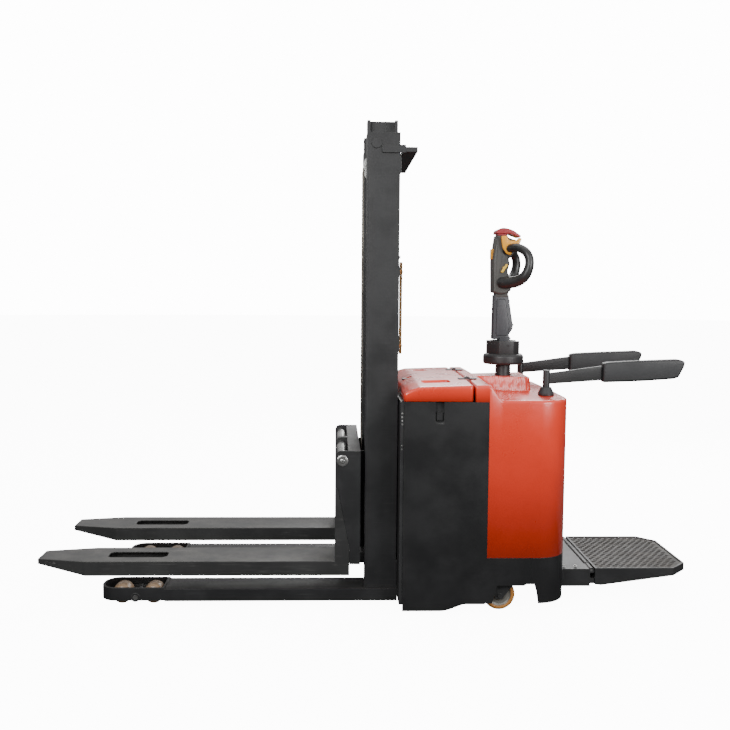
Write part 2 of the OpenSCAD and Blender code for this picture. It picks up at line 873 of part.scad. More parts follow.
// Fixed halves of the two lid hinges, with their pins
module lid_hinges() {
    color("#222224") at_heel() both_sides() translate([0, lid_hinge_y, 0]) {
        block(lid_rear + lid_seam + 1, lid_rear + lid_seam + 32, -16, 16,
              shoulder_z + seat, shoulder_z + 4);
        difference() {
            union() {
                rod_y(lid_pin_x, 2, 16, lid_pin_z, 5);
                block(lid_pin_x, lid_pin_x + 8, 2, 16, lid_pin_z - 2, lid_pin_z + 2);
            }
            rod_y(lid_pin_x, 0, 18, lid_pin_z, 2.5);
        }
        rod_y(lid_pin_x, -16, 16, lid_pin_z, 2.5);
    }
}

// Screws that hold the mast guard, the platform bracket and the bulkhead
module cover_screws() {
    guard = tie_x + tie_t + seat + 12;
    color("silver") at_heel() both_sides() {
        for (z = [mid_tie_z + 18, guard_top - 38])
            rod_x(guard + seat, guard + 6, guard_y - 30, z, 7);
        for (x = [body_rear + 30, body_rear + 78])
            rod_z(x, deck_w / 2 - 26, bracket_top + seat, bracket_top + 5, 7);
    }
}

// ---- drive and steering ----

module drive_gearbox() {
    half = drive_w / 2;
    top = plate_z + plate_t + 6;
    color("#5a5d60") at_heel() {
        difference() {
            union() {
                // drum that turns in the steering bearing
                rod_z(drive_x, 0, plate_z - bearing_h, top, bearing_r - 8 - fit);
                rod_z(drive_x, 0, top - 0.5, top + 10, motor_r + 24);
                // arm down to the wheel axle
                block(drive_x - 55, drive_x + 55, half + 4, half + 30, drive_d / 2,
                      plate_z - bearing_h + 1);
                rod_y(drive_x, half + 4, half + 30, drive_d / 2, 55);
            }
        }
        rod_y(drive_x, -half + 4, half + 5, drive_d / 2, 16);
    }
}

// Upright traction motor with its parking brake on top
module drive_motor() {
    z0 = plate_z + plate_t + 16 + seat;
    color("#2e3032") at_heel() {
        rod_z(drive_x, 0, z0, z0 + 200, motor_r);
        rod_z(drive_x, 0, z0 + 200 + seat, z0 + 250, 52);
    }
}

module drive_wheel() {
    half = drive_w / 2;
    r = drive_d / 2;
    color("#3a2f28") at_heel() translate([drive_x, 0, r]) rotate([-90, 0, 0]) {
        rotate_extrude() polygon([[16 + fit, -half], [r - 18, -half], [r - 18, half],
                                  [16 + fit, half]]);
        rotate_extrude() polygon([[r - 18 + fit, -half], [r - 5, -half], [r, 5 - half],
                                  [r, half - 5], [r - 5, half], [r - 18 + fit, half]]);
    }
}

module caster_fork(side) {
    half = caster_w / 2;
    axle_z = caster_d / 2;
    top = caster_plate_z - seat;
    color("#2a2a2c") at_heel() translate([caster_x, side * caster_y, 0]) {
        rod_z(0, 0, top - 12, top, 50);
        rod_z(0, 0, top - 1, caster_plate_z + 34, kingpin_r);
        rod_z(0, 0, caster_plate_z + 12 + seat, caster_plate_z + 24, 18);
        both_sides() across(half + 4, half + 10)
            polygon([[-caster_trail - 15, axle_z - 14], [-caster_trail + 9, axle_z - 15],
                     [46, top - 12], [46, top - 1], [-44, top - 1],
                     [-caster_trail - 20, axle_z]]);
        rod_y(-caster_trail, -half - 5, half + 5, axle_z, 8);
        both_sides() rod_y(-caster_trail, half + 9, half + 14, axle_z, 9);
    }
}
module caster_fork_left() caster_fork(-1);
module caster_fork_right() caster_fork(1);

module caster_wheel(side) {
    half = caster_w / 2;
    r = caster_d / 2;
    color("#8a5a2b") at_heel()
        translate([caster_x - caster_trail, side * caster_y, r]) rotate([-90, 0, 0])
        rotate_extrude() polygon([[8 + fit, -half - 3], [20, -half - 3], [20, -half],
            [r - 7, -half], [r, 7 - half], [r, half - 7], [r - 7, half], [20, half],
            [20, half + 3], [8 + fit, half + 3]]);
}
module caster_wheel_left() caster_wheel(-1);
module caster_wheel_right() caster_wheel(1);

// ---- tiller ----

// Column from the gearbox, straddling the motor, up to the tilt housing
module tiller_column() {
    r = column_d / 2;
    foot = plate_z + plate_t + 16;
    bridge = foot + 264;
    hub = pivot_z - 33;
    color("#38383a") at_heel() {
        rod_z(drive_x, 0, bridge, hub - 36, r);
        block(drive_x - 30, drive_x + 30, -strap_y - 10, strap_y + 10, bridge - 12,
              bridge + 1);
        both_sides() {
            block(drive_x - 30, drive_x + 30, strap_y, strap_y + 10, foot + seat,
                  bridge);
        }
        // tilt housing: flange and two cheeks
        difference() {
            union() {
                rod_z(drive_x, 0, hub - 36, hub + 6, 84);
                both_sides() difference() {
                    rod_z(drive_x, 0, hub + 5, pivot_z + 28, 70);
                    block(drive_x - 90, drive_x + 90, -100, cheek_y, 0, 2000);
                }
            }
            rod_y(drive_x, -100, 100, pivot_z, tilt_pin_r);
        }
        rod_y(drive_x, -cheek_y - 18, cheek_y + 18, pivot_z, tilt_pin_r);
    }
}

// Stem: knuckle round the tilt pin, then a tapered blade up to the head
module tiller_stem() {
    color("#4c4c50") at_heel() difference() {
        union() {
            rod_y(drive_x, -cheek_y + 2, cheek_y - 2, pivot_z, knuckle_r);
            block(drive_x - 22, drive_x + 22, -32, 32, pivot_z, pivot_z + 40);
            across(-30, 30)
                polygon([[stem_front, pivot_z + 32], [drive_x + 34, pivot_z + 32],
                         [drive_x + 17, pivot_z + 52], [drive_x + 34, pivot_z + 78],
                         [drive_x + 34, pivot_z + 94], [drive_x + 14, head_z],
                         [stem_front + 3, head_z]]);
        }
        rod_y(drive_x, -cheek_y, cheek_y, pivot_z, tilt_pin_r + fit);
    }
}

// Side outline of the tiller head
module head_side() {
    top = head_z + head_h;
    polygon([[stem_front - 4, head_z + 9], [drive_x + 7, head_z + seat],
             [drive_x + 25, head_z + 25], [drive_x + 22, head_z + 52],
             [drive_x + 4, head_z + 96], [drive_x + 16, head_z + 128],
             [drive_x + 4, head_z + 160], [drive_x + 4, top], [stem_front + 5, top],
             [stem_front - 1, head_z + 180], [stem_front - 6, head_z + 140]]);
}

module tiller_head() {
    color("#3c3c3e") at_heel() difference() {
        union() {
            across(-44, 44) head_side();
            // neck that carries the throttle shaft
            across(-20, 20) polygon([[drive_x, head_z + 160], [wing_x + 14, wing_z - 20],
                                     [wing_x + 14, wing_z + 14], [drive_x, wing_z + 32]]);
        }
        rod_y(wing_x, -60, 60, wing_z, 7 + fit);
        rod_y(drive_x - 12, -60, 60, head_z + 110, 6 + fit);
        block(stem_front - 20, stem_front + 8, -14, 14, head_z + 145, head_z + 189);
        block(drive_x - 38 - seat, drive_x + 1 + seat, -34 - seat, 34 + seat, top_slot_z,
              head_z + head_h + 1);
    }
}

// One hand loop each side: half a ring standing out from the head on two arms
module hand_loops() {
    ring = 58;
    tube = 17;
    out = head_w / 2 - 2 * tube;
    lift = head_z + 112;
    color("#333335") at_heel() both_sides() {
        across(out, out + 2 * tube) translate([drive_x + 12, lift]) difference() {
            circle(ring + tube);
            circle(ring - tube);
            translate([-200, -200]) square([200, 400]);
        }
        for (s = [-1, 1])
            rod_y(drive_x + 12, 44 + seat, out + 2 * tube - 1, lift + s * ring, tube - 1);
    }
}

// Butterfly throttle: two wings on one shaft
module throttle_wings() {
    color("#e0a030") at_heel() {
        rod_y(wing_x, -44, 44, wing_z, 7);
        both_sides() across(44 + 2, 70)
            polygon([[wing_x - 50, wing_z + 20], [wing_x - 34, wing_z + 26],
                     [wing_x - 26, wing_z + 8], [wing_x + 8, wing_z + 12],
                     [wing_x + 20, wing_z + 22], [wing_x + 24, wing_z + 6],
                     [wing_x + 8, wing_z - 9], [wing_x - 20, wing_z - 8],
                     [wing_x - 40, wing_z - 4]]);
        both_sides() rod_y(wing_x, 43, 47, wing_z, 7);
    }
}

// Reversing button that caps the head and slides down into it
module reverse_button() {
    top = head_z + head_h;
    color("#7c2a30") at_heel() {
        across(-42, 42) polygon([[stem_front + 6, top + 6], [drive_x + 6, top + 6],
            [drive_x + 56, top - 12], [drive_x + 56, top - 8], [drive_x + 20, top + 16],
            [drive_x - 18, top + 25], [stem_front + 14, top + 18]]);
        block(drive_x - 38, drive_x + 1, -34, 34, top_slot_z + 7, top + 7);
    }
}

// Thumb rocker for lifting and lowering, with a paddle on each side
module lift_rocker() {
    x = drive_x - 12;
    z = head_z + 110;
    color("#e3c040") at_heel() {
        rod_y(x, -47, 47, z, 6);
        both_sides() across(46, 54) polygon([[x - 14, z - 16], [x - 4, z - 20],
                                             [x + 16, z + 14], [x + 6, z + 18]]);
    }
}

module horn_button() {
    color("#e08a30") at_heel()
        block(stem_front - 12, stem_front + 5, -13.5, 13.5, head_z + 145.5,
              head_z + 188.5);
}

// ---- lid ----

// Side outline of the lid, lowered by d
module lid_side(d) {
    polygon([[lid_front + d, panel_top + 2], [lid_front + d, panel_top + 38],
             [lid_front + 12, shoulder_z - 22 - d], [lid_front + 90, shoulder_z - 8 - d],
             [lid_rear - d, shoulder_z - d], [lid_rear - d, panel_top + 2]]);
}

module battery_lid() {
    half = body_w / 2;
    wall = 4;
    color("#d0452c") at_heel() difference() {
        across(-half, half) lid_side(0);
        translate([0, 0, -1]) across(wall - half, half - wall) lid_side(wall);
        block(lid_front + 80, lid_front + 190, -300, -215, shoulder_z - 26,
              shoulder_z + 5);
        block(lid_front + 20 - seat, lid_front + 58 + seat, -70 - seat, seat - 34,
              shoulder_z - 30, shoulder_z);
    }
    color("#d0452c") at_heel() difference() {
        block(lid_front + 78, lid_front + 192, -302, -213, shoulder_z - 28,
              shoulder_z - 10.5);
        block(lid_front + 80, lid_front + 190, -300, -215, shoulder_z - 26,
              shoulder_z + 5);
    }
}

// Moving hinge halves and the latch insert of the lid
module lid_fittings() {
    color("#222224") at_heel() {
        both_sides() translate([0, lid_hinge_y, 0]) difference() {
            union() {
                block(lid_rear - 32, lid_rear - 1, -16, 16, shoulder_z + seat,
                      shoulder_z + 4);
                rod_y(lid_pin_x, -16, 1.5, lid_pin_z, 5);
                block(lid_pin_x - 10, lid_pin_x, -16, 1.5, lid_pin_z - 2, lid_pin_z + 2);
            }
            rod_y(lid_pin_x, -20, 20, lid_pin_z, 2.5 + fit);
        }
        block(lid_front + 20, lid_front + 58, -70, -34, shoulder_z - 24,
              shoulder_z - 13);
    }
}

// ---- platform ----

// Plan of the deck, inset by d
module deck_plan(d) {
    half = deck_w / 2 - d;
    polygon([[deck_front + d, -half], [deck_front + d, half], [deck_tip - 69, half],
             [deck_tip - d, half - 70], [deck_tip - d, 70 - half], [deck_tip - 69, -half]]);
}

// Side outline of the deck, its underside rising rearwards, inset by d
module deck_side(d) {
    polygon([[deck_front - 1, 62 + d - 2], [deck_front + 25, 56], [deck_tip - 69, 95],
             [deck_tip + 1, 97], [deck_tip + 1, deck_top], [deck_front - 1, deck_top]]);
}

module platform_deck() {
    half = deck_w / 2;
    color("dimgray") at_heel() difference() {
        union() {
            difference() {
                intersection() {
                    across(-half, half) deck_side(0);
                    upward(0, deck_top) deck_plan(0);
                }
                upward(0, deck_top - 12) deck_plan(6);
                upward(deck_top - 6, deck_top + 1) deck_plan(8);
            }
            rod_y(hinge_x, -half + 80, half - 80, hinge_z, knuckle);
            block(hinge_x, deck_front + 4, -half + 80, half - 80, hinge_z - 3, hinge_z + 5);
        }
        rod_y(hinge_x, -deck_w, deck_w, hinge_z, hinge_pin_r + fit);
    }
}

module platform_mat() {
    color("#1f1f21") at_heel() upward(deck_top - 6, deck_top - 0.5) deck_plan(8 + seat);
}

// ---- side arms ----

module side_arm(side) {
    y = side * post_pitch / 2;
    color("#2c2c2e") at_heel() {
        difference() {
            rod_z(post_x, y, deck_z - 110, deck_z + 99, post_d / 2);
        }
        translate([0, y, 0]) {
            across(-7, 7) polygon([[post_x + 10, deck_z + 44], [post_x + 10, deck_z + 87],
                [pad_x + 30, pad_z + pad_h - 8], [pad_x + 30, pad_z + 10]]);
            difference() {
                across(-pad_w / 2, pad_w / 2)
                    polygon([[pad_x, pad_z], [pad_x, pad_z + pad_h],
                             [pad_x + pad_len - 14, pad_z + pad_h + 14],
                             [pad_x + pad_len, pad_z + pad_h],
                             [pad_x + pad_len - 24, pad_z + 20]]);
                across(-7 - seat, 7 + seat) polygon([[pad_x - 1, pad_z - 1],
                    [pad_x - 1, pad_z + pad_h + 1], [pad_x + 30 + seat, pad_z + pad_h + 1],
                    [pad_x + 30 + seat, pad_z - 1]]);
            }
        }
    }
}
module side_arm_left() side_arm(-1);
module side_arm_right() side_arm(1);

// ---- the nodes ----

chassis();
leg_left();
leg_right();
outer_mast();
mast_stay();
mast_guard();
limit_switch();
lift_cylinder();
side_panel_left();
side_panel_right();
rear_skirt();
rear_cover();
battery_tray();
battery_cells();
hydraulic_unit();
motor_controller();
steer_bearing();
pivot_pins();
platform_bracket();
arm_sockets();
lid_hinges();
cover_screws();
anchor_chains();
inner_mast();
lift_rod();
chain_sheaves();
mast_rollers();
carriage();
fork_left();
fork_right();
hanger_shaft();
carriage_rollers();
lift_chains();
drive_gearbox();
drive_motor();
tiller_column();
drive_wheel();
tiller_stem();
tiller_head();
hand_loops();
throttle_wings();
reverse_button();
lift_rocker();
horn_button();
caster_fork_left();
caster_wheel_left();
caster_fork_right();
caster_wheel_right();
bogie_left();
front_roller_left();
rear_roller_left();
bogie_right();
front_roller_right();
rear_roller_right();
battery_lid();
lid_fittings();
platform_deck();
platform_mat();
side_arm_left();
side_arm_right();
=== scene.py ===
# Ride-on electric stacker: the looks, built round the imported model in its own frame.
import json
import math

import bmesh
import bpy
import numpy as np
from mathutils import Matrix, Vector

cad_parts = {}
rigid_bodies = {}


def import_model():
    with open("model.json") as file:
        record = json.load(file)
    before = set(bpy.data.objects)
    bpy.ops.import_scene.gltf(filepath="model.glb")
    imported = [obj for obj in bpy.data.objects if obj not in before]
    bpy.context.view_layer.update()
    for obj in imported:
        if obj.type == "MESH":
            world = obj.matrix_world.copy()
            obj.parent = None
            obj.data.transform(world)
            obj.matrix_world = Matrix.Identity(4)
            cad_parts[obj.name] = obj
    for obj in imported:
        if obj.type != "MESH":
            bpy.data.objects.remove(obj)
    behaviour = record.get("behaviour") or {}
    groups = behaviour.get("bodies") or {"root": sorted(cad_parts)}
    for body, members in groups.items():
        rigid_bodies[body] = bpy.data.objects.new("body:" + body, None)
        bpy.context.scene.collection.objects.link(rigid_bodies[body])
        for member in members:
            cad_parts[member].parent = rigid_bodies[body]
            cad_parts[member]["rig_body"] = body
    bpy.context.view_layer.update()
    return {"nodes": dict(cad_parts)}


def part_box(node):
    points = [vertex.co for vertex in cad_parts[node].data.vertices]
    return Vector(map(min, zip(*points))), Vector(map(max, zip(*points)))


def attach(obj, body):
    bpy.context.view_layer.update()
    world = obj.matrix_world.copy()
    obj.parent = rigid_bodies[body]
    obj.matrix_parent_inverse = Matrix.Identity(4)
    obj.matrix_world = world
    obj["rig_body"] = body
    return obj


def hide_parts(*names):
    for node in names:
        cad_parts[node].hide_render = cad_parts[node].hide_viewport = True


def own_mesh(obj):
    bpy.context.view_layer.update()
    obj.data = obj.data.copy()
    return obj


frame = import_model()
nodes = frame["nodes"]
scene = bpy.context.scene
MM = 0.001

# ---- studio ----
# Four large soft lights and a surround that is dim below and bright above, so that
# dark paint keeps its depth. The camera stands at the driver's chest height, 3.7 m off.

def look_at(thing, target):
    """Turns a light so that its -Z axis points at the target."""
    way = Vector(target) - thing.location
    thing.rotation_euler = way.to_track_quat("-Z", "Y").to_euler()


def soft_light(name, place, target, size, power):
    lamp = bpy.data.lights.new(name, "AREA")
    lamp.shape = "RECTANGLE"
    lamp.size, lamp.size_y = size
    lamp.energy = power
    thing = bpy.data.objects.new(name, lamp)
    scene.collection.objects.link(thing)
    thing.location = place
    look_at(thing, target)


CAMERA_PLACE = (-0.145, -3.731, 1.236)
LENS_LENGTH = 44.14
camera_data = bpy.data.cameras.new("studio_camera")
camera_data.sensor_width = 36
camera_data.lens = LENS_LENGTH
camera = bpy.data.objects.new("studio_camera", camera_data)
scene.collection.objects.link(camera)
scene.camera = camera
yaw, pitch, roll = math.radians(1.887), math.radians(4.776), math.radians(0.45)
ahead = Vector((math.sin(yaw) * math.cos(pitch), math.cos(yaw) * math.cos(pitch), -math.sin(pitch)))
level = Vector((math.cos(yaw), -math.sin(yaw), 0))
above = level.cross(ahead)
across = level * math.cos(roll) + above * math.sin(roll)
upward = above * math.cos(roll) - level * math.sin(roll)
stand = Matrix((across, upward, -ahead)).transposed().to_4x4()
stand.translation = CAMERA_PLACE
camera.matrix_world = stand

soft_light("key_light", (-1.5, -3.4, 2.0), (0, 0, 0.4), (2.0, 1.2), 100)
soft_light("fill_light", (2.7, -3.2, 1.7), (0.3, 0, 0.3), (2.0, 1.2), 115)
soft_light("top_light", (0.2, 0.4, 4.2), (0.1, 0, 0), (4.0, 3.0), 45)
soft_light("back_light", (1.5, 3.2, 2.8), (0, 0, 0.8), (3.0, 2.0), 150)

WHITE_BACKDROP = 14.0
surround = bpy.data.worlds.new("studio_surround")
scene.world = surround
surround.use_nodes = True
sky = surround.node_tree
white = sky.nodes["Background"]
white.inputs["Color"].default_value = (1, 1, 1, 1)
way = sky.nodes.new("ShaderNodeTexCoord")
height = sky.nodes.new("ShaderNodeSeparateXYZ")
sky.links.new(way.outputs["Generated"], height.inputs[0])
glow = sky.nodes.new("ShaderNodeMapRange")
for title, value in {"From Min": -0.05, "From Max": 0.4, "To Min": 0.08, "To Max": 0.95}.items():
    glow.inputs[title].default_value = value
sky.links.new(height.outputs["Z"], glow.inputs["Value"])
sight = sky.nodes.new("ShaderNodeLightPath")
seen = sky.nodes.new("ShaderNodeMix")
sky.links.new(sight.outputs["Is Camera Ray"], seen.inputs["Factor"])
sky.links.new(glow.outputs[0], seen.inputs["A"])
seen.inputs["B"].default_value = WHITE_BACKDROP
sky.links.new(seen.outputs["Result"], white.inputs["Strength"])

# ---- paint and plastic ----
# Every part is sprayed steel or moulded plastic. Four effects show on them: the fine
# grain of the coat, worn edges that also carry a painted edge highlight, rubbing
# streaks and dust that settles on top.

def sprayed(red, green, blue):
    """A linear colour from the usual 0 to 255 screen values."""
    share = np.array([red, green, blue]) / 255
    linear = np.where(share <= 0.04045, share / 12.92, ((share + 0.055) / 1.055) ** 2.4)
    return (*[float(c) for c in linear], 1.0)


def effect_group(name, inputs, outputs):
    """An empty node group with named number inputs and outputs, and its two end nodes."""
    group = bpy.data.node_groups.new(name, "ShaderNodeTree")
    for title, value in inputs.items():
        socket = group.interface.new_socket(title, in_out="INPUT", socket_type="NodeSocketFloat")
        socket.default_value = value
    for title in outputs:
        group.interface.new_socket(title, in_out="OUTPUT", socket_type="NodeSocketFloat")
    return group, group.nodes.new("NodeGroupInput"), group.nodes.new("NodeGroupOutput")


def math_node(tree, operation, first, second, clamp=False):
    """A Math node; each operand is a socket or a plain number."""
    node = tree.nodes.new("ShaderNodeMath")
    node.operation = operation
    node.use_clamp = clamp
    for slot, operand in zip(node.inputs, (first, second)):
        if isinstance(operand, (int, float)):
            slot.default_value = operand
        else:
            tree.links.new(operand, slot)
    return node.outputs[0]


def noise_node(tree, vector, scale, detail, rough=0.5):
    """A Noise texture's value; scale is a socket or a plain number."""
    node = tree.nodes.new("ShaderNodeTexNoise")
    node.inputs["Detail"].default_value = detail
    node.inputs["Roughness"].default_value = rough
    tree.links.new(vector, node.inputs["Vector"])
    if isinstance(scale, (int, float)):
        node.inputs["Scale"].default_value = scale
    else:
        tree.links.new(scale, node.inputs["Scale"])
    return node.outputs[0]


def stretched(tree, vector, scale):
    """The same coordinates drawn out along one axis."""
    node = tree.nodes.new("ShaderNodeMapping")
    node.inputs["Scale"].default_value = scale
    tree.links.new(vector, node.inputs["Vector"])
    return node.outputs[0]


def object_place(tree):
    return tree.nodes.new("ShaderNodeTexCoord").outputs["Object"]


def sharpened(tree, value, low, high):
    """The value spread so that low becomes 0 and high becomes 1."""
    node = tree.nodes.new("ShaderNodeMapRange")
    node.interpolation_type = "SMOOTHSTEP"
    node.inputs["From Min"].default_value = low
    node.inputs["From Max"].default_value = high
    tree.links.new(value, node.inputs["Value"])
    return node.outputs[0]


coat_grain, g_in, g_out = effect_group(
    "coat_grain", {"Scale": 900.0, "Depth": 1.0}, ["Height", "Tone"])
place = object_place(coat_grain)
fine = noise_node(coat_grain, place, g_in.outputs["Scale"], 2)
wavy = noise_node(coat_grain, place, 34, 2)
mixed = math_node(coat_grain, "ADD", fine, math_node(coat_grain, "MULTIPLY", wavy, 1.5))
coat_grain.links.new(math_node(coat_grain, "MULTIPLY", mixed, g_in.outputs["Depth"]), g_out.inputs[0])
coat_grain.links.new(sharpened(coat_grain, noise_node(coat_grain, place, 5.5, 4, 0.6), 0.35, 0.68),
                     g_out.inputs[1])

# Edge mask: bare colour on the corners for wear, and also a painted highlight where eased edges catch the
# light.
worn_and_lit_edges, g_in, g_out = effect_group("worn_and_lit_edges", {"Patchiness": 0.5}, ["Mask"])
rounding = worn_and_lit_edges.nodes.new("ShaderNodeBevel")
rounding.samples = 6
rounding.inputs["Radius"].default_value = 0.0022
facing = worn_and_lit_edges.nodes.new("ShaderNodeNewGeometry")
bend = worn_and_lit_edges.nodes.new("ShaderNodeVectorMath")
bend.operation = "DOT_PRODUCT"
worn_and_lit_edges.links.new(rounding.outputs[0], bend.inputs[0])
worn_and_lit_edges.links.new(facing.outputs["Normal"], bend.inputs[1])
turned_away = math_node(worn_and_lit_edges, "SUBTRACT", 1.0, bend.outputs["Value"])
patches = sharpened(worn_and_lit_edges, noise_node(worn_and_lit_edges, object_place(worn_and_lit_edges), 26, 5, 0.7), 0.4, 0.72)
uneven = math_node(worn_and_lit_edges, "ADD", math_node(worn_and_lit_edges, "MULTIPLY", patches,
                                                g_in.outputs["Patchiness"]), 0.25)
worn_and_lit_edges.links.new(math_node(worn_and_lit_edges, "MULTIPLY", sharpened(worn_and_lit_edges, turned_away, 0.01, 0.2),
                               uneven, True), g_out.inputs[0])

rub_streaks, g_in, g_out = effect_group("rub_streaks", {"Amount": 0.3}, ["Mask"])
place = object_place(rub_streaks)
thin = noise_node(rub_streaks, stretched(rub_streaks, place, (3, 190, 190)), 2.0, 3, 0.65)
broad = noise_node(rub_streaks, place, 9, 3, 0.6)
streak = math_node(rub_streaks, "MULTIPLY", sharpened(rub_streaks, thin, 0.56, 0.7),
                   sharpened(rub_streaks, broad, 0.42, 0.66))
rub_streaks.links.new(math_node(rub_streaks, "MULTIPLY", streak, g_in.outputs["Amount"]), g_out.inputs[0])

settled_dust, g_in, g_out = effect_group("settled_dust", {"Amount": 0.2}, ["Mask"])
facing = settled_dust.nodes.new("ShaderNodeNewGeometry")
parts = settled_dust.nodes.new("ShaderNodeSeparateXYZ")
settled_dust.links.new(facing.outputs["Normal"], parts.inputs[0])
upturned = sharpened(settled_dust, parts.outputs[2], 0.55, 1.0)
cloudy = sharpened(settled_dust, noise_node(settled_dust, object_place(settled_dust), 14, 6, 0.7), 0.3, 0.75)
settled_dust.links.new(math_node(settled_dust, "MULTIPLY", math_node(
    settled_dust, "MULTIPLY", upturned, cloudy), g_in.outputs["Amount"]), g_out.inputs[0])


def use_group(tree, group, **values):
    """The group placed in a material with its own values."""
    node = tree.nodes.new("ShaderNodeGroup")
    node.node_tree = group
    for title, value in values.items():
        node.inputs[title].default_value = value
    return node


def blended(tree, share, first, second):
    """A colour between two; each is a socket or a plain colour."""
    node = tree.nodes.new("ShaderNodeMix")
    node.data_type = "RGBA"
    tree.links.new(share, node.inputs["Factor"])
    for slot, colour in ((node.inputs[6], first), (node.inputs[7], second)):
        if isinstance(colour, tuple):
            slot.default_value = colour
        else:
            tree.links.new(colour, slot)
    return node.outputs[2]


def finish(name, colour, rough, metal=0.0, coat=0.0, grain=900.0, depth=0.5, tone=0.16,
           edge_wear_and_light=0.0, bare_and_edge_light=(0.3, 0.3, 0.3, 1), streaks=0.0, dust=0.0):
    """A coated surface: colour clouded by tone, bare colour on worn edges (there also a painted edge
    highlight) and in streaks, dust on top.
    """
    material = bpy.data.materials.new(name)
    material.use_nodes = True
    tree = material.node_tree
    shader = tree.nodes["Principled BSDF"]
    grain_node = use_group(tree, coat_grain, Scale=grain, Depth=depth)
    dark = tuple(c * (1 - tone) for c in colour[:3]) + (1.0,)
    light = tuple(min(1, c * (1 + tone)) for c in colour[:3]) + (1.0,)
    shade = blended(tree, grain_node.outputs["Tone"], dark, light)
    uneven = math_node(tree, "MULTIPLY", grain_node.outputs["Tone"], 0.12)
    dullness = math_node(tree, "ADD", uneven, rough - 0.06)
    # Bare colour along the edges: wear, and a painted highlight standing in for light on the eased corners.
    if edge_wear_and_light:
        mask = math_node(tree, "MULTIPLY", use_group(tree, worn_and_lit_edges, Patchiness=0.75).outputs[0], edge_wear_and_light)
        shade = blended(tree, mask, shade, bare_and_edge_light)
    if streaks:
        mask = use_group(tree, rub_streaks, Amount=streaks).outputs[0]
        shade = blended(tree, mask, shade, bare_and_edge_light)
        dullness = math_node(tree, "ADD", dullness, math_node(tree, "MULTIPLY", mask, 0.2), True)
    if dust:
        mask = use_group(tree, settled_dust, Amount=dust).outputs[0]
        shade = blended(tree, mask, shade, sprayed(178, 172, 162))
        dullness = math_node(tree, "ADD", dullness, math_node(tree, "MULTIPLY", mask, 0.5), True)
    tree.links.new(shade, shader.inputs["Base Color"])
    tree.links.new(dullness, shader.inputs["Roughness"])
    shader.inputs["Metallic"].default_value = metal
    shader.inputs["Coat Weight"].default_value = coat
    shader.inputs["Coat Roughness"].default_value = 0.12
    bump = tree.nodes.new("ShaderNodeBump")
    bump.inputs["Strength"].default_value = 0.25
    bump.inputs["Distance"].default_value = 0.0004
    tree.links.new(grain_node.outputs["Height"], bump.inputs["Height"])
    tree.links.new(bump.outputs["Normal"], shader.inputs["Normal"])
    return material


# ---- welded steel ----
# Legs, masts, carriage, forks and brackets are cut plate and rolled section, welded,
# then sprayed dark grey. Their corners are eased, so each edge takes a line of light.

# The edge amounts below give wear and a painted edge highlight together.
mast_paint = finish("mast_paint", sprayed(30, 30, 31), 0.42, grain=700, depth=0.7, tone=0.1,
                    edge_wear_and_light=0.45, bare_and_edge_light=sprayed(130, 130, 130), streaks=0.08, dust=0.05)
fork_paint = finish("fork_paint", sprayed(38, 38, 38), 0.42, grain=700, depth=0.8, tone=0.06,
                    edge_wear_and_light=0.7, bare_and_edge_light=sprayed(150, 148, 145), streaks=0.25, dust=0.08)
frame_paint = finish("frame_paint", sprayed(28, 28, 29), 0.46, grain=700, depth=0.7, tone=0.08,
                     edge_wear_and_light=0.4, bare_and_edge_light=sprayed(120, 120, 120), streaks=0.05, dust=0.04)
cover_paint = finish("cover_paint", sprayed(22, 22, 23), 0.4, grain=1100, depth=0.5, tone=0.06,
                     edge_wear_and_light=0.25, bare_and_edge_light=sprayed(120, 120, 122), dust=0.06)
machine_grey = finish("machine_grey", sprayed(96, 99, 102), 0.45, grain=500, depth=0.6, tone=0.1,
                      edge_wear_and_light=0.3, bare_and_edge_light=sprayed(160, 160, 160), dust=0.2)
battery_paint = finish("battery_paint", sprayed(62, 70, 78), 0.5, grain=500, tone=0.1, dust=0.25)
black_plastic = finish("black_plastic", sprayed(36, 36, 38), 0.5, grain=1600, depth=0.9, tone=0.06,
                       dust=0.08)
bright_steel = finish("bright_steel", sprayed(190, 190, 188), 0.3, metal=1.0, grain=1200, depth=0.3,
                      tone=0.08)
rod_chrome = finish("rod_chrome", sprayed(215, 215, 218), 0.12, metal=1.0, grain=2000, depth=0.05,
                    tone=0.03)
oiled_chain = finish("oiled_chain", sprayed(120, 116, 108), 0.34, metal=1.0, grain=900, depth=0.6,
                     tone=0.3)


def smoothed(mesh, degrees):
    """Smooth shading everywhere but over edges sharper than the angle."""
    mesh.shade_smooth()
    mesh.set_sharp_from_angle(angle=math.radians(degrees))


def set_in_place(name, mesh, material, crease, body, stands_for=()):
    """The mesh as an object with its finish, riding on its body in place of the nodes it stands for."""
    mesh.materials.append(material)
    smoothed(mesh, crease)
    thing = bpy.data.objects.new(name, mesh)
    scene.collection.objects.link(thing)
    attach(thing, body)
    if stands_for:
        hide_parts(*stands_for)
    return thing


def eased(node, material, width=1.6 * MM, rounds=2):
    """A CAD node's own shape with its triangles welded, flats rejoined and corners rounded."""
    mesh = nodes[node].data.copy()
    work = bmesh.new()
    work.from_mesh(mesh)
    bmesh.ops.remove_doubles(work, verts=work.verts, dist=0.00002)
    bmesh.ops.dissolve_limit(work, angle_limit=math.radians(0.6), verts=work.verts, edges=work.edges)
    work.to_mesh(mesh)
    work.free()
    mesh.materials.clear()
    thing = set_in_place(node + "_eased", mesh, material, 30, nodes[node]["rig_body"], (node,))
    corner = thing.modifiers.new("eased_corners", "BEVEL")
    corner.width = width
    corner.segments = rounds
    corner.limit_method = "ANGLE"
    corner.angle_limit = math.radians(40)
    corner.harden_normals = True


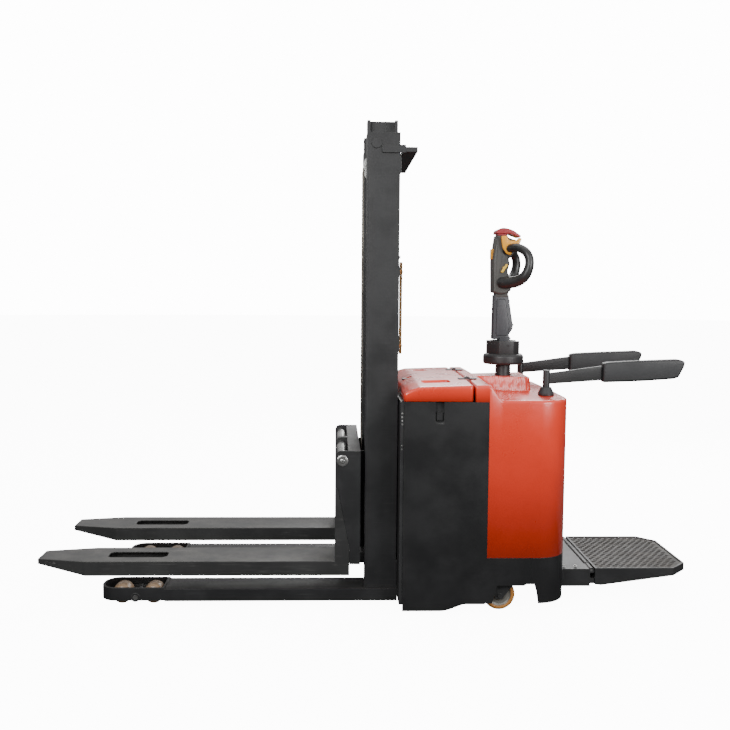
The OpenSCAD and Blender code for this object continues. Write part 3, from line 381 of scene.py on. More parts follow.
for name in ("leg_left", "leg_right", "outer_mast", "inner_mast", "mast_stay", "carriage"):
    eased(name, mast_paint)
for name in ("fork_left", "fork_right"):
    eased(name, fork_paint, 2.2 * MM, 3)
for name in ("chassis", "platform_bracket", "platform_deck", "bogie_left", "bogie_right",
             "caster_fork_left", "caster_fork_right"):
    eased(name, frame_paint)
for name in ("side_panel_left", "side_panel_right", "rear_skirt"):
    eased(name, cover_paint, 0.6 * MM)
for name in ("limit_switch", "lid_hinges", "lid_fittings", "arm_sockets"):
    eased(name, black_plastic, 1.0 * MM)
for name in ("drive_gearbox", "drive_motor", "hydraulic_unit", "motor_controller"):
    eased(name, machine_grey, 2.0 * MM)
eased("battery_tray", battery_paint)
eased("battery_cells", black_plastic, 2.0 * MM)
eased("lift_cylinder", frame_paint)
eased("lift_rod", rod_chrome, 0.8 * MM)
for name in ("steer_bearing", "pivot_pins", "chain_sheaves", "mast_rollers", "carriage_rollers"):
    eased(name, bright_steel, 0.8 * MM)
eased("anchor_chains", oiled_chain, 0.5 * MM)

# ---- turned pieces ----
# Rollers, wheels, the hanger shaft and the screws come off a lathe or out of a round
# mould: one half-outline is carried round an axis.

def around(count):
    """Evenly spaced angles, once round a circle."""
    return np.linspace(0, 2 * math.pi, count, endpoint=False)


def skin(points, ring=False):
    """Faces over a grid of points: columns close round; rows close round too, or their ends are capped."""
    rows, cols = points.shape[:2]
    row, col = np.meshgrid(np.arange(rows if ring else rows - 1), np.arange(cols), indexing="ij")
    down, right = (row + 1) % rows, (col + 1) % cols
    quads = np.stack([row * cols + col, row * cols + right, down * cols + right, down * cols + col], -1)
    faces = quads.reshape(-1, 4).tolist()
    if not ring:
        faces += [list(range(cols))[::-1], list(range((rows - 1) * cols, rows * cols))]
    return points.reshape(-1, 3), faces


def rounded(corners, radius, closed=True, steps=5):
    """An outline whose corners are replaced by short curves that start a radius before each corner."""
    corner = np.array(corners, float)
    before, after = np.roll(corner, 1, 0), np.roll(corner, -1, 0)
    back, on = before - corner, after - corner
    back_len = np.linalg.norm(back, axis=1, keepdims=True)
    on_len = np.linalg.norm(on, axis=1, keepdims=True)
    reach = np.minimum(np.broadcast_to(np.reshape(radius, (-1, 1)), back_len.shape),
                       0.45 * np.minimum(back_len, on_len))
    start = corner + back / back_len * reach
    end = corner + on / on_len * reach
    t = np.linspace(0, 1, steps)[None, :, None]
    curve = (1 - t) ** 2 * start[:, None] + 2 * t * (1 - t) * corner[:, None] + t ** 2 * end[:, None]
    if not closed:
        curve[0], curve[-1] = corner[0], corner[-1]
    return curve.reshape(-1, corner.shape[1])


def set_on_axis(axis, along, first, second):
    """Points from their place along the axis and the two places across it, in turning order."""
    order = {"x": (along, first, second), "y": (second, along, first), "z": (first, second, along)}
    return np.stack(order[axis], -1)


def turned(profile, centre, axis="y", rounds=48, ring=False):
    """A solid of revolution: profile holds (place along the axis, radius), carried round the axis."""
    profile = np.array(profile, float)
    angle = around(rounds)
    along = np.broadcast_to(profile[:, :1], (len(profile), rounds))
    first = profile[:, 1:] * np.cos(angle)
    second = profile[:, 1:] * np.sin(angle)
    return skin(set_on_axis(axis, along, first, second) + np.array(centre, float), ring)


def same_ends(end, between=()):
    """A lathe outline that is alike at both ends: one end's points, any between, the end mirrored."""
    return end + list(between) + [(-place, reach) for place, reach in reversed(end)]


def round_bar(low, high, radius, centre, axis="y", bore=3 * MM, round_by=0.0, rounds=48):
    """A turned bar from low to high along the axis; its corners are rounded, its ends stop at the bore."""
    outline = [(low, bore), (low, radius), (high, radius), (high, bore)]
    if round_by:
        outline = rounded(outline, round_by, closed=False)
    return turned(outline, centre, axis, rounds)


def piece(name, body, material, patches, stands_for=(), crease=32):
    """One mesh of several closed patches, its faces turned outwards, riding on its body."""
    points, faces, start = [], [], 0
    for patch_points, patch_faces in patches:
        points.append(patch_points)
        faces += [[start + corner for corner in face] for face in patch_faces]
        start += len(patch_points)
    mesh = bpy.data.meshes.new(name)
    mesh.from_pydata(np.concatenate(points).tolist(), [], faces)
    work = bmesh.new()
    work.from_mesh(mesh)
    bmesh.ops.remove_doubles(work, verts=work.verts, dist=0.000005)
    bmesh.ops.recalc_face_normals(work, faces=work.faces)
    work.to_mesh(mesh)
    work.free()
    return set_in_place(name, mesh, material, crease, body, stands_for)


def middle(node):
    """A node's centre and its size."""
    low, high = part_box(node)
    return (np.array(low) + np.array(high)) / 2, np.array(high) - np.array(low)


roller_tan = finish("roller_tan", sprayed(132, 108, 84), 0.38, coat=0.2, grain=400, depth=0.4, tone=0.12,
                    streaks=0.2, bare_and_edge_light=sprayed(120, 100, 80))
tyre_amber = finish("tyre_amber", sprayed(150, 100, 45), 0.42, coat=0.1, grain=500, depth=0.5, tone=0.15)
drive_rubber = finish("drive_rubber", sprayed(60, 52, 46), 0.6, grain=500, depth=0.9, tone=0.15, dust=0.1)
hub_grey = finish("hub_grey", sprayed(120, 118, 112), 0.4, metal=0.6, grain=700, tone=0.12)

for side in ("left", "right"):
    for end in ("front", "rear"):
        name = f"{end}_roller_{side}"
        centre, size = middle(name)
        half, radius = size[1] / 2, size[2] / 2
        crown = rounded(same_ends([(-half, radius * 0.3), (-half, radius * 0.72),
                                   (8 * MM - half, radius - 2 * MM)], [(0, radius)]), 5 * MM, closed=False)
        cap = rounded(same_ends([(-half - 1 * MM, 3 * MM), (-half - 1 * MM, radius * 0.27),
                                 (-half, radius * 0.3)]), 1 * MM, closed=False)
        piece(name + "_tread", name, roller_tan, [turned(crown, centre)], (name,))
        piece(name + "_bearing", name, bright_steel, [turned(cap, centre)])

    name = f"caster_wheel_{side}"
    centre, size = middle(name)
    half, radius = size[1] / 2 - 3 * MM, size[2] / 2
    tread = rounded(same_ends([(-half, radius - 17 * MM), (-half, radius - 7 * MM), (7 * MM - half, radius)]),
                    4 * MM)
    disc = same_ends([(-half - 3 * MM, 9 * MM), (-half - 3 * MM, 19 * MM), (6 * MM - half, 24 * MM),
                      (6 * MM - half, radius - 22 * MM), (1 * MM - half, radius - 17.5 * MM)])
    piece(name + "_tyre", name, tyre_amber, [turned(tread, centre, ring=True)], (name,))
    piece(name + "_rim", name, hub_grey, [turned(rounded(disc, 2 * MM), centre, ring=True)])

centre, size = middle("drive_wheel")
half, radius = size[1] / 2, size[2] / 2
tread = same_ends([(-half, radius - 17 * MM), (-half, radius - 5 * MM), (5 * MM - half, radius)])
hub = same_ends([(-half, 17 * MM), (-half, 40 * MM), (10 * MM - half, 50 * MM),
                 (10 * MM - half, radius - 26 * MM), (2 * MM - half, radius - 17.5 * MM)])
bolt_circle = 62 * MM
bolts = [round_bar(half - 12 * MM, half - 3 * MM, 8 * MM,
                   centre + np.array([math.cos(turn), 0, math.sin(turn)]) * bolt_circle,
                   bore=1 * MM, round_by=1 * MM, rounds=6)
         for turn in around(5)]
piece("drive_wheel_tyre", "drive_wheel", drive_rubber,
      [turned(rounded(tread, 3 * MM), centre, ring=True)], ("drive_wheel",))
piece("drive_wheel_hub", "drive_wheel", machine_grey,
      [turned(rounded(hub, 3 * MM), centre, ring=True)] + bolts)

# ---- screws ----
# Socket-head screws with a washer, all alike but for size: a domed cylinder with a
# six-sided socket sunk in its end. They hold the guard, the panels and the bracket.

def socket_screw(centre, way, radius, tall):
    """A screw head: rings of growing depth, the last ones a hexagon sunk into the end. way is +-x, y, z."""
    sign = -1 if way[0] == "-" else 1
    angle = around(24)
    hexagon = 1 / np.cos((angle + math.pi / 6) % (math.pi / 3) - math.pi / 6)
    plain = np.ones_like(angle)
    rings = [(0, 1.45, plain), (0.16, 1.45, plain), (0.18, 1.0, plain), (0.9, 1.0, plain), (1.0, 0.9, plain),
             (1.0, 0.5, hexagon), (0.5, 0.48, hexagon)]
    along = np.array([[sign * tall * step] * len(angle) for step, _, _ in rings])
    reach = np.array([radius * share * shape for _, share, shape in rings])
    first, second = reach * np.cos(angle), reach * np.sin(angle)
    return skin(set_on_axis(way[-1], along, first, second) + np.array(centre, float))


guard_low, guard_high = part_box("mast_guard")
bracket_low, bracket_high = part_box("platform_bracket")
guard_rows = (guard_low.z + 31 * MM, guard_high.z - 38 * MM)
guard_screw_y = 220 * MM
bracket_screw_y = 209 * MM
edge_screw_x, edge_screw_y = 106 * MM, 406.5 * MM
edge_screw_rows = np.array([640, 654, 735, 748, 762, 776]) * MM
heads = [socket_screw((guard_high.x - 2 * MM, flank * guard_screw_y, z), "+x", 4.6 * MM, 6 * MM)
         for flank in (-1, 1) for z in guard_rows]
heads += [socket_screw((edge_screw_x, flank * edge_screw_y, z), way, 2.4 * MM, 2.2 * MM)
          for flank, way in ((-1, "-y"), (1, "+y")) for z in edge_screw_rows]
heads += [socket_screw((x, flank * bracket_screw_y, bracket_high.z), "+z", 4.8 * MM, 5 * MM)
          for flank in (-1, 1) for x in (bracket_low.x + 48 * MM, bracket_low.x + 96 * MM)]
piece("cover_screw_heads", "chassis", bright_steel, heads, ("cover_screws",))

# ---- hanger shaft ----
# A ground steel bar across the top of the carriage that the fork hooks hang on, with
# a stepped end and its screw showing through each side plate.

centre, size = middle("hanger_shaft")
half, radius = size[1] / 2, min(size[0], size[2]) / 2
bar = same_ends([(-half, 4 * MM), (-half, radius - 5 * MM), (3 * MM - half, radius - 4 * MM),
                 (3 * MM - half, radius - 3 * MM), (4 * MM - half, radius)])
end_screws = [socket_screw(centre + np.array([0, flank * half, 0]), way, 8 * MM, 4 * MM)
              for flank, way in ((-1, "-y"), (1, "+y"))]
piece("hanger_shaft_bar", "carriage", bright_steel, [turned(bar, centre)] + end_screws,
      ("hanger_shaft",))

# ---- moulded red covers ----
# The battery lid and the rear cover are thick gloss mouldings. Each is one sheet: a
# height over its plan, a quarter-round rim, and a wall down to its lower edge.

red_gloss = finish("red_gloss", (0.66, 0.040, 0.015, 1.0), 0.32, coat=0.5, grain=1500, depth=0.2, tone=0.04)


def ticks(low, high, step, rim, marks=()):
    """Grid lines: close together in the rim and beside each mark, a step apart elsewhere."""
    curve = rim * (1 - np.cos(np.linspace(0, math.pi / 2, 8)))
    near = np.concatenate([[m - 3 * MM, m - 1.5 * MM, m, m + 1.5 * MM, m + 3 * MM] for m in marks] or [[]])
    lines = np.concatenate([low + curve, np.arange(low + rim, high - rim, step), high - curve, near])
    lines = np.unique(np.round(lines, 5))
    return lines[np.concatenate([[True], np.diff(lines) > 0.0004])]


def pocket(x, y, low, high, round_by, slope):
    """1 inside a rounded rectangle, falling smoothly to 0 over its sloping wall."""
    centre, half = (np.array(low) + high) / 2, (np.array(high) - low) / 2
    over_x = np.abs(x - centre[0]) - half[0] + round_by
    over_y = np.abs(y - centre[1]) - half[1] + round_by
    gap = np.hypot(np.maximum(over_x, 0), np.maximum(over_y, 0)) + np.minimum(np.maximum(over_x, over_y), 0)
    share = np.clip((round_by - gap) / slope, 0, 1)
    return share * share * (3 - 2 * share)


def moulding(name, xs, ys, height, corner, rim, skirt, wall, body, material, stands_for):
    """A sheet z = height(x, y) whose corner squares are drawn in to quarter circles of radius corner(x)."""
    x, y = np.meshgrid(xs, ys, indexing="ij")
    mid_x, mid_y = (xs[0] + xs[-1]) / 2, (ys[0] + ys[-1]) / 2
    half_x, half_y = (xs[-1] - xs[0]) / 2, (ys[-1] - ys[0]) / 2
    radius = corner(x)
    u, v = np.abs(x - mid_x) - half_x + radius, np.abs(y - mid_y) - half_y + radius
    bent = (u > 0) & (v > 0)
    pull = np.where(bent, np.maximum(u, v) / np.maximum(np.hypot(u, v), 1e-9), 1)
    flat_x = np.where(bent, mid_x + np.sign(x - mid_x) * (half_x - radius + u * pull), x)
    flat_y = np.where(bent, mid_y + np.sign(y - mid_y) * (half_y - radius + v * pull), y)
    edge = np.minimum(rim, np.minimum(half_x - np.abs(x - mid_x), half_y - np.abs(y - mid_y)))
    z = height(flat_x, flat_y) - rim + np.sqrt(np.maximum(rim ** 2 - (rim - edge) ** 2, 0))
    sheet = np.pad(np.stack([flat_x, flat_y, z], -1), ((1, 1), (1, 1), (0, 0)), mode="edge")
    border = np.ones(sheet.shape[:2], bool)
    border[1:-1, 1:-1] = False
    sheet[border, 2] = skirt(sheet[border, 0])
    rows, cols = sheet.shape[:2]
    row, col = np.meshgrid(np.arange(rows - 1), np.arange(cols - 1), indexing="ij")
    first = row * cols + col
    faces = np.stack([first, first + cols, first + cols + 1, first + 1], -1).reshape(-1, 4).tolist()
    mesh = bpy.data.meshes.new(name)
    mesh.from_pydata(sheet.reshape(-1, 3).tolist(), [], faces)
    work = bmesh.new()
    work.from_mesh(mesh)
    bmesh.ops.remove_doubles(work, verts=work.verts, dist=0.00003)
    bmesh.ops.dissolve_degenerate(work, edges=work.edges, dist=0.00001)
    work.to_mesh(mesh)
    work.free()
    thing = set_in_place(name, mesh, material, 50, body, stands_for)
    thick = thing.modifiers.new("wall", "SOLIDIFY")
    thick.thickness = wall
    thick.offset = -1


# Battery lid: crowned across, lower towards the mast, with a long hand recess on the
# left, two short ones on the right and a slot for the latch.
LID_RIM = 8 * MM
low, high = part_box("battery_lid")
lid_top = high.z
hand = ((low.x + 80 * MM, -300 * MM), (low.x + 190 * MM, -215 * MM))
rests = [((low.x + 84 * MM, y), (low.x + 150 * MM, y + 34 * MM)) for y in (190 * MM, 250 * MM)]
latch = ((low.x + 19 * MM, -72 * MM), (low.x + 59 * MM, -32 * MM))


def lid_height(x, y):
    """A gentle crown across, a slope to the mast, less the recesses."""
    fall = 24 * MM * np.clip((low.x + 70 * MM - x) / (70 * MM), 0, 1) ** 1.6
    crown = lid_top + 3 * MM - 7 * MM * (y / high.y) ** 2 - 9 * MM * (high.x - x) / (high.x - low.x) - fall
    sunk = 22 * MM * pocket(x, y, *hand, 12 * MM, 5 * MM) + 12 * MM * pocket(x, y, *latch, 4 * MM, 3 * MM)
    for rest in rests:
        sunk = sunk + 9 * MM * pocket(x, y, *rest, 10 * MM, 5 * MM)
    return crown - sunk


marks_x = [edge[0] for spot in [hand, latch] + rests for edge in spot]
marks_y = [edge[1] for spot in [hand, latch] + rests for edge in spot]
moulding("battery_lid_shell", ticks(low.x, high.x, 5 * MM, LID_RIM, marks_x),
         ticks(low.y, high.y, 7 * MM, LID_RIM, marks_y), lid_height, lambda x: np.full_like(x, 12 * MM),
         LID_RIM, lambda x: np.full_like(x, low.z), 3.5 * MM, "lid", red_gloss, ("battery_lid",))

# Rear cover: a shoulder level with the lid, falling to the rear deck, a raised plinth
# that flares rearwards round the steering column, and sides down over the wheels.
COVER_RIM = 11 * MM
cover_low, cover_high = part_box("rear_cover")
lid_seam_x = cover_low.x
column_x = middle("tiller_column")[0][0]
shoulder_z, deck_z = cover_high.z, cover_high.z - 57 * MM
shoulder_end = lid_seam_x + 49 * MM
panel_edge = lid_seam_x + 53.5 * MM
panel_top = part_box("side_panel_left")[1].z
plinth_end = column_x + 97 * MM
plinth_corner = 24 * MM
plinth_half = 132 * MM
well_radius = 39 * MM


def cover_height(x, y):
    """Shoulder, slope and deck along the truck, with the plinth and the column's well."""
    slope = np.clip((x - shoulder_end) / (58 * MM), 0, 1)
    slope = slope * slope * (3 - 2 * slope)
    crown = 3 * MM * (1 - (y / cover_high.y) ** 2) - 3 * MM
    base = shoulder_z + crown + (deck_z - shoulder_z) * slope
    half = 60 * MM + 66 * MM * np.clip((x - shoulder_end) / (plinth_end - shoulder_end), 0, 1)
    over_x, over_y = x - plinth_end + plinth_corner, np.abs(y) - half + plinth_corner
    gap = np.hypot(np.maximum(over_x, 0), np.maximum(over_y, 0)) + np.minimum(np.maximum(over_x, over_y), 0)
    inside = np.clip((plinth_corner - gap) / (7 * MM), 0, 1)
    inside = inside * inside * (3 - 2 * inside)
    raised = base + (shoulder_z + crown - base) * inside
    well = np.clip((well_radius - np.hypot(x - column_x, y)) / (3 * MM), 0, 1)
    return raised - 14 * MM * well


def cover_skirt(x):
    """The lower edge: over the side panels in front, far down behind them."""
    return np.where(x < panel_edge, panel_top + 0.3 * MM, cover_low.z)


fine_x = np.concatenate([np.arange(shoulder_end - 6 * MM, plinth_end + 8 * MM, 2.5 * MM),
                         [panel_edge - 0.3 * MM, panel_edge]])
fine_y = np.arange(-plinth_half, plinth_half + 0.1 * MM, 2.5 * MM)
cover_x = np.concatenate([ticks(lid_seam_x, cover_high.x, 8 * MM, COVER_RIM), fine_x])
cover_y = np.concatenate([ticks(cover_low.y, cover_high.y, 10 * MM, COVER_RIM), fine_y])
cover_x, cover_y = np.unique(np.round(cover_x, 5)), np.unique(np.round(cover_y, 5))
moulding("rear_cover_shell", cover_x, cover_y, cover_height,
         lambda x: np.where(x > (lid_seam_x + cover_high.x) / 2, 120 * MM, 6 * MM), COVER_RIM, cover_skirt,
         4 * MM, "chassis", red_gloss, ("rear_cover",))

# ---- tiller ----
# A cast blade on a tilt pin carries a moulded head: throttle wings on a shaft, a
# reversing cap on top, a rocker and a horn button, and a thick hand loop each side.

tiller_grey = finish("tiller_grey", sprayed(54, 54, 58), 0.42, grain=900, depth=0.6, tone=0.07, edge_wear_and_light=0.3,
                     bare_and_edge_light=sprayed(140, 140, 142), dust=0.06)
head_grey = finish("head_grey", sprayed(70, 69, 66), 0.48, grain=1300, depth=1.0, tone=0.06, dust=0.06)
loop_black = finish("loop_black", sprayed(40, 40, 40), 0.38, grain=1500, depth=0.7, tone=0.05)
boot_grey = finish("boot_grey", sprayed(34, 33, 34), 0.46, grain=1000, depth=0.8, tone=0.06, dust=0.1)
wing_orange = finish("wing_orange", sprayed(232, 160, 30), 0.35, coat=0.3, grain=1500, depth=0.3, tone=0.06)
rocker_yellow = finish("rocker_yellow", sprayed(232, 190, 70), 0.35, coat=0.3, grain=1500, tone=0.05)
cap_red = finish("cap_red", sprayed(150, 34, 40), 0.4, coat=0.2, grain=1400, depth=0.4, tone=0.06)
HEEL_X = -145 * MM


def inset(outline, depth):
    """A closed outline moved in along its own normals; points that pass each other are drawn together."""
    run = np.roll(outline, -1, 0) - np.roll(outline, 1, 0)
    length = np.maximum(np.linalg.norm(run, axis=1, keepdims=True), 1e-9)
    normal = np.stack([-run[:, 1], run[:, 0]], -1) / length
    area = np.sum(outline[:, 0] * np.roll(outline[:, 1], -1) - np.roll(outline[:, 0], -1) * outline[:, 1])
    moved = outline + normal * depth * np.sign(area)
    ahead = np.roll(outline, -1, 0) - outline
    for _ in range(6):
        passed = np.sum((np.roll(moved, -1, 0) - moved) * ahead, 1, keepdims=True) <= 0
        middle = (moved + np.roll(moved, -1, 0)) / 2
        moved = np.where(passed, middle, moved)
        moved = np.where(np.roll(passed, 1, 0), np.roll(middle, 1, 0), moved)
    return moved


def padded_plate(outline, low, high, rim, plane="xz", steps=5):
    """An outline carried from low to high, its rims rounded by insetting it along a quarter circle."""
    turn = np.linspace(0, math.pi / 2, steps)
    depth = np.concatenate([rim * (1 - np.sin(turn)), rim * (1 - np.sin(turn[::-1]))])
    level = np.concatenate([low + rim * (1 - np.cos(turn)), high - rim * (1 - np.cos(turn[::-1]))])
    rows = np.stack([inset(outline, d) for d in depth])
    a, b = rows[..., 0], rows[..., 1]
    c = np.broadcast_to(level[:, None], a.shape)
    order = {"xz": (a, c, b), "xy": (a, b, c), "yz": (c, a, b)}
    return skin(np.stack(order[plane], -1))


def side_view(points, radius, steps=5):
    """An outline given in millimetres from the fork heel and the floor, with rounded corners."""
    outline = np.array(points, float) * MM + np.array([HEEL_X, 0])
    return rounded(outline, np.array(radius) * MM, steps=steps)


def rectangle(low_a, high_a, low_b, high_b, round_by, steps=5):
    """The outline of a plate from low to high both ways, with rounded corners."""
    corners = [(low_a, low_b), (high_a, low_b), (high_a, high_b), (low_a, high_b)]
    return rounded(corners, round_by, steps=steps)


def smooth_path(points, per=10):
    """A curve through all the points: each stretch is a cubic whose slopes come from its neighbours."""
    points = np.array(points, float)
    ends = np.concatenate([2 * points[:1] - points[1:2], points, 2 * points[-1:] - points[-2:-1]])
    p0, p1, p2, p3 = ends[:-3, None], ends[1:-2, None], ends[2:-1, None], ends[3:, None]
    t = np.linspace(0, 1, per, endpoint=False)[None, :, None]
    curve = 0.5 * (2 * p1 + (p2 - p0) * t + (2 * p0 - 5 * p1 + 4 * p2 - p3) * t ** 2
                   + (3 * p1 - p0 - 3 * p2 + p3) * t ** 3)
    return np.concatenate([curve.reshape(-1, points.shape[1]), points[-1:]])


def tube(path, radius, rounds, reference):
    """A round bar along a path: rings square to the path, each started from the reference direction."""
    run = np.gradient(path, axis=0)
    run = run / np.linalg.norm(run, axis=1, keepdims=True)
    side = np.cross(run, np.array(reference))
    side = side / np.linalg.norm(side, axis=1, keepdims=True)
    up = np.cross(side, run)
    angle = around(rounds)[None, :, None]
    reach = np.broadcast_to(np.reshape(radius, (-1, 1, 1)), (len(path), 1, 1))
    return skin(path[:, None] + reach * (np.cos(angle) * side[:, None] + np.sin(angle) * up[:, None]))


# tilt housing: two straps and a bridge hold a ribbed neck, a round-edged flange and an
# eight-sided boot, hollow and open behind for the blade
BOOT_TOP = 1031 * MM
axis_foot = (column_x, 0, 0)
strap_low, strap_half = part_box("tiller_column")[0].z, 30 * MM
flange = rounded(np.array([(933, 26), (933, 80), (940, 84), (968, 84), (977, 76), (977, 26)]) * MM, 6 * MM,
                 closed=False)
boot_plan = np.array([(60, 34), (60, 40), (30, 68), (-28, 68), (-68, 28), (-68, -28), (-28, -68), (30, -68),
                      (60, -40), (60, -34), (30, -34), (30, -46), (-40, -46), (-54, -32), (-54, 32),
                      (-40, 46), (30, 46), (30, 34)]) * MM + np.array([column_x, 0])
housing = [turned(flange, axis_foot, "z", 64),
           round_bar(strap_low + 250 * MM, 934 * MM, 31 * MM, axis_foot, "z", bore=20 * MM, round_by=1 * MM),
           padded_plate(rounded(boot_plan, 2.5 * MM, steps=3), 974 * MM, BOOT_TOP, 1.2 * MM, "xy")]
for low_y, high_y, low_z, high_z in ((-98, 98, 252, 265), (-98, -88, 0, 264), (88, 98, 0, 264)):
    plan = rectangle(column_x - strap_half, column_x + strap_half, low_y * MM, high_y * MM, 2 * MM, 3)
    housing.append(padded_plate(plan, strap_low + low_z * MM, strap_low + high_z * MM, 1.5 * MM, "xy"))
housing += [round_bar(z * MM, (z + 3) * MM, 32.2 * MM, axis_foot, "z", bore=30 * MM) for z in (896, 904, 912)]
piece("tilt_housing", "drive_unit", boot_grey, housing, ("tiller_column",))
piece("tilt_screws", "drive_unit", black_plastic,
      [socket_screw((column_x + 10 * MM, flank * 67.6 * MM, BOOT_TOP - 17 * MM), way, 5 * MM, 3 * MM)
       for flank, way in ((-1, "-y"), (1, "+y"))])

# blade of the tiller: a tapered casting, hollowed at each side, on a round knuckle
blade = side_view([(653, 1036), (732, 1038), (720, 1054), (737, 1081), (737, 1097), (717, 1221), (656, 1221)],
                  [3, 4, 5, 6, 6, 3, 3])
tongue = side_view([(681, 1003), (725, 1003), (725, 1046), (681, 1046)], [4, 4, 1, 1])
rib = side_view([(666, 1050), (712, 1050), (722, 1085), (704, 1205), (668, 1205)], 6)
knuckle = round_bar(-44 * MM, 44 * MM, 24 * MM, (column_x, 0, 1003 * MM), bore=12 * MM, round_by=2 * MM)
blade_pins = [round_bar(-8 * MM, 8 * MM, radius * MM, (x * MM + HEEL_X, 0, z * MM))
              for radius, x, z in ((5, 721, 1196), (6, 737, 1097))]
piece("tiller_blade", "tiller", tiller_grey,
      [padded_plate(blade, -26 * MM, 26 * MM, 3 * MM), padded_plate(rib, -30 * MM, 30 * MM, 4 * MM), knuckle,
       padded_plate(tongue, -32 * MM, 32 * MM, 2 * MM)] + blade_pins, ("tiller_stem",))

# head: a deep moulding with a seam round its middle and a neck at its foot
head_line = side_view([(649, 1231), (672, 1224), (700, 1224), (724, 1240), (725, 1274), (707, 1318),
                       (717, 1350), (708, 1384), (722, 1420), (706, 1465), (660, 1465), (651, 1402),
                       (646, 1362)],
                      [6, 6, 6, 6, 8, 10, 8, 8, 8, 3, 3, 8, 8])
collar = side_view([(662, 1212), (712, 1212), (720, 1246), (660, 1246)], 4)
cheek = side_view([(690, 1360), (722, 1372), (746, 1412), (746, 1446), (703, 1462), (690, 1440)],
                  [4, 12, 8, 6, 8, 4])
piece("tiller_head_shell", "tiller", head_grey,
      [padded_plate(head_line, 0.6 * MM, 43.5 * MM, 9 * MM, steps=7),
       padded_plate(head_line, -43.5 * MM, -0.6 * MM, 9 * MM, steps=7),
       padded_plate(inset(head_line, 2 * MM), -3 * MM, 3 * MM, 1 * MM),
       padded_plate(cheek, -20 * MM, 20 * MM, 4 * MM),
       padded_plate(collar, -27.5 * MM, 27.5 * MM, 3 * MM)], ("tiller_head",))

# hand loops: each leaves the head's flank high up, sweeps out and back, and comes in low
loop_points = np.array([(697, 36, 1402), (716, 62, 1412), (742, 96, 1411), (766, 124, 1392),
                        (777, 132, 1362), (774, 132, 1326), (760, 122, 1296), (736, 94, 1277),
                        (704, 62, 1271), (680, 36, 1272)])
thickness = smooth_path(np.array([18, 18, 17.5, 17.5, 18, 19, 21, 23, 24, 22])[:, None])[:, 0] * MM
loops = []
for flank in (-1, 1):
    route = smooth_path(loop_points * np.array([1, flank, 1]) * MM + np.array([HEEL_X, 0, 0]))
    loops.append(tube(route, thickness, 28, (0.0, 1.0, 0.0001)))
piece("hand_loop_tubes", "tiller", loop_black, loops, ("hand_loops",), 60)

# throttle wings on their shaft, thumb rockers, horn button and the reversing cap
wing = side_view([(674, 1462), (698, 1462), (706, 1443), (738, 1443), (746, 1456), (760, 1452), (748, 1422),
                  (726, 1412), (716, 1384), (698, 1388), (680, 1414)], [7, 6, 8, 8, 6, 6, 9, 10, 6, 9, 12])
wings = [padded_plate(wing, 46.5 * MM, 64 * MM, 2.5 * MM), padded_plate(wing, -64 * MM, -46.5 * MM, 2.5 * MM),
         round_bar(-46 * MM, 46 * MM, 7 * MM, (731 * MM + HEEL_X, 0, 1434 * MM), round_by=1 * MM)]
piece("throttle_butterfly", "throttle", wing_orange, wings, ("throttle_wings",))

rocker = side_view([(676, 1315), (686, 1311), (708, 1345), (698, 1349)], 4)
piece("thumb_rocker", "lift_rocker", rocker_yellow,
      [padded_plate(rocker, 45 * MM, 54 * MM, 3 * MM), padded_plate(rocker, -54 * MM, -45 * MM, 3 * MM),
       round_bar(-46 * MM, 46 * MM, 6 * MM, (691 * MM + HEEL_X, 0, 1332 * MM))], ("lift_rocker",))

low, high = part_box("horn_button")
button = rectangle(low.y, high.y, low.z, high.z, 4 * MM)
piece("horn_push", "horn_button", wing_orange,
      [padded_plate(button, low.x, high.x, 2.5 * MM, "yz")], ("horn_button",))

cap = side_view([(657, 1472), (660, 1488), (684, 1498), (724, 1490), (761, 1464), (757, 1457), (716, 1472)],
                [4, 6, 18, 18, 3, 3, 8])
plug = side_view([(666, 1452), (703, 1452), (703, 1477), (666, 1477)], 2)
piece("reversing_cap", "reverse_button", cap_red,
      [padded_plate(cap, -42 * MM, 42 * MM, 2.5 * MM), padded_plate(plug, -33 * MM, 33 * MM, 1 * MM)],
      ("reverse_button",))

# ---- side arms ----
# Swing-out arms that the driver leans against: a steel post in a socket, a flat steel
# arm, and a long pad of self-skinned foam moulded round its end.

pad_foam = finish("pad_foam", sprayed(28, 28, 30), 0.55, grain=1100, depth=1.4, tone=0.05, dust=0.08)
arm_spread = 250 * MM
for side, flank in (("left", -1), ("right", 1)):
    name = f"side_arm_{side}"
    y = flank * arm_spread
    post = round_bar(720 * MM, 929 * MM, 14 * MM, (829 * MM + HEEL_X, y, 0), "z", round_by=2 * MM)
    arm = side_view([(836, 874), (836, 917), (1079, 951), (1079, 892)], 2)
    piece(name + "_post", name, frame_paint,
          [post, padded_plate(arm, y - 6.5 * MM, y + 6.5 * MM, 2 * MM)], (name,))
    pad = side_view([(1049, 882), (1049, 957), (1070, 962), (1200, 969), (1352, 975), (1374, 966),
                     (1372, 948), (1350, 903), (1330, 897), (1200, 887)],
                    [8, 8, 20, 60, 12, 10, 10, 12, 20, 60], 6)
    cushion = piece(name + "_pad", name, pad_foam,
                    [padded_plate(pad, y - 22 * MM, y + 22 * MM, 9 * MM, steps=7)], crease=60)

# ---- standing platform mat ----
# A rubber mat let into the deck, with staggered rows of oval studs for grip.

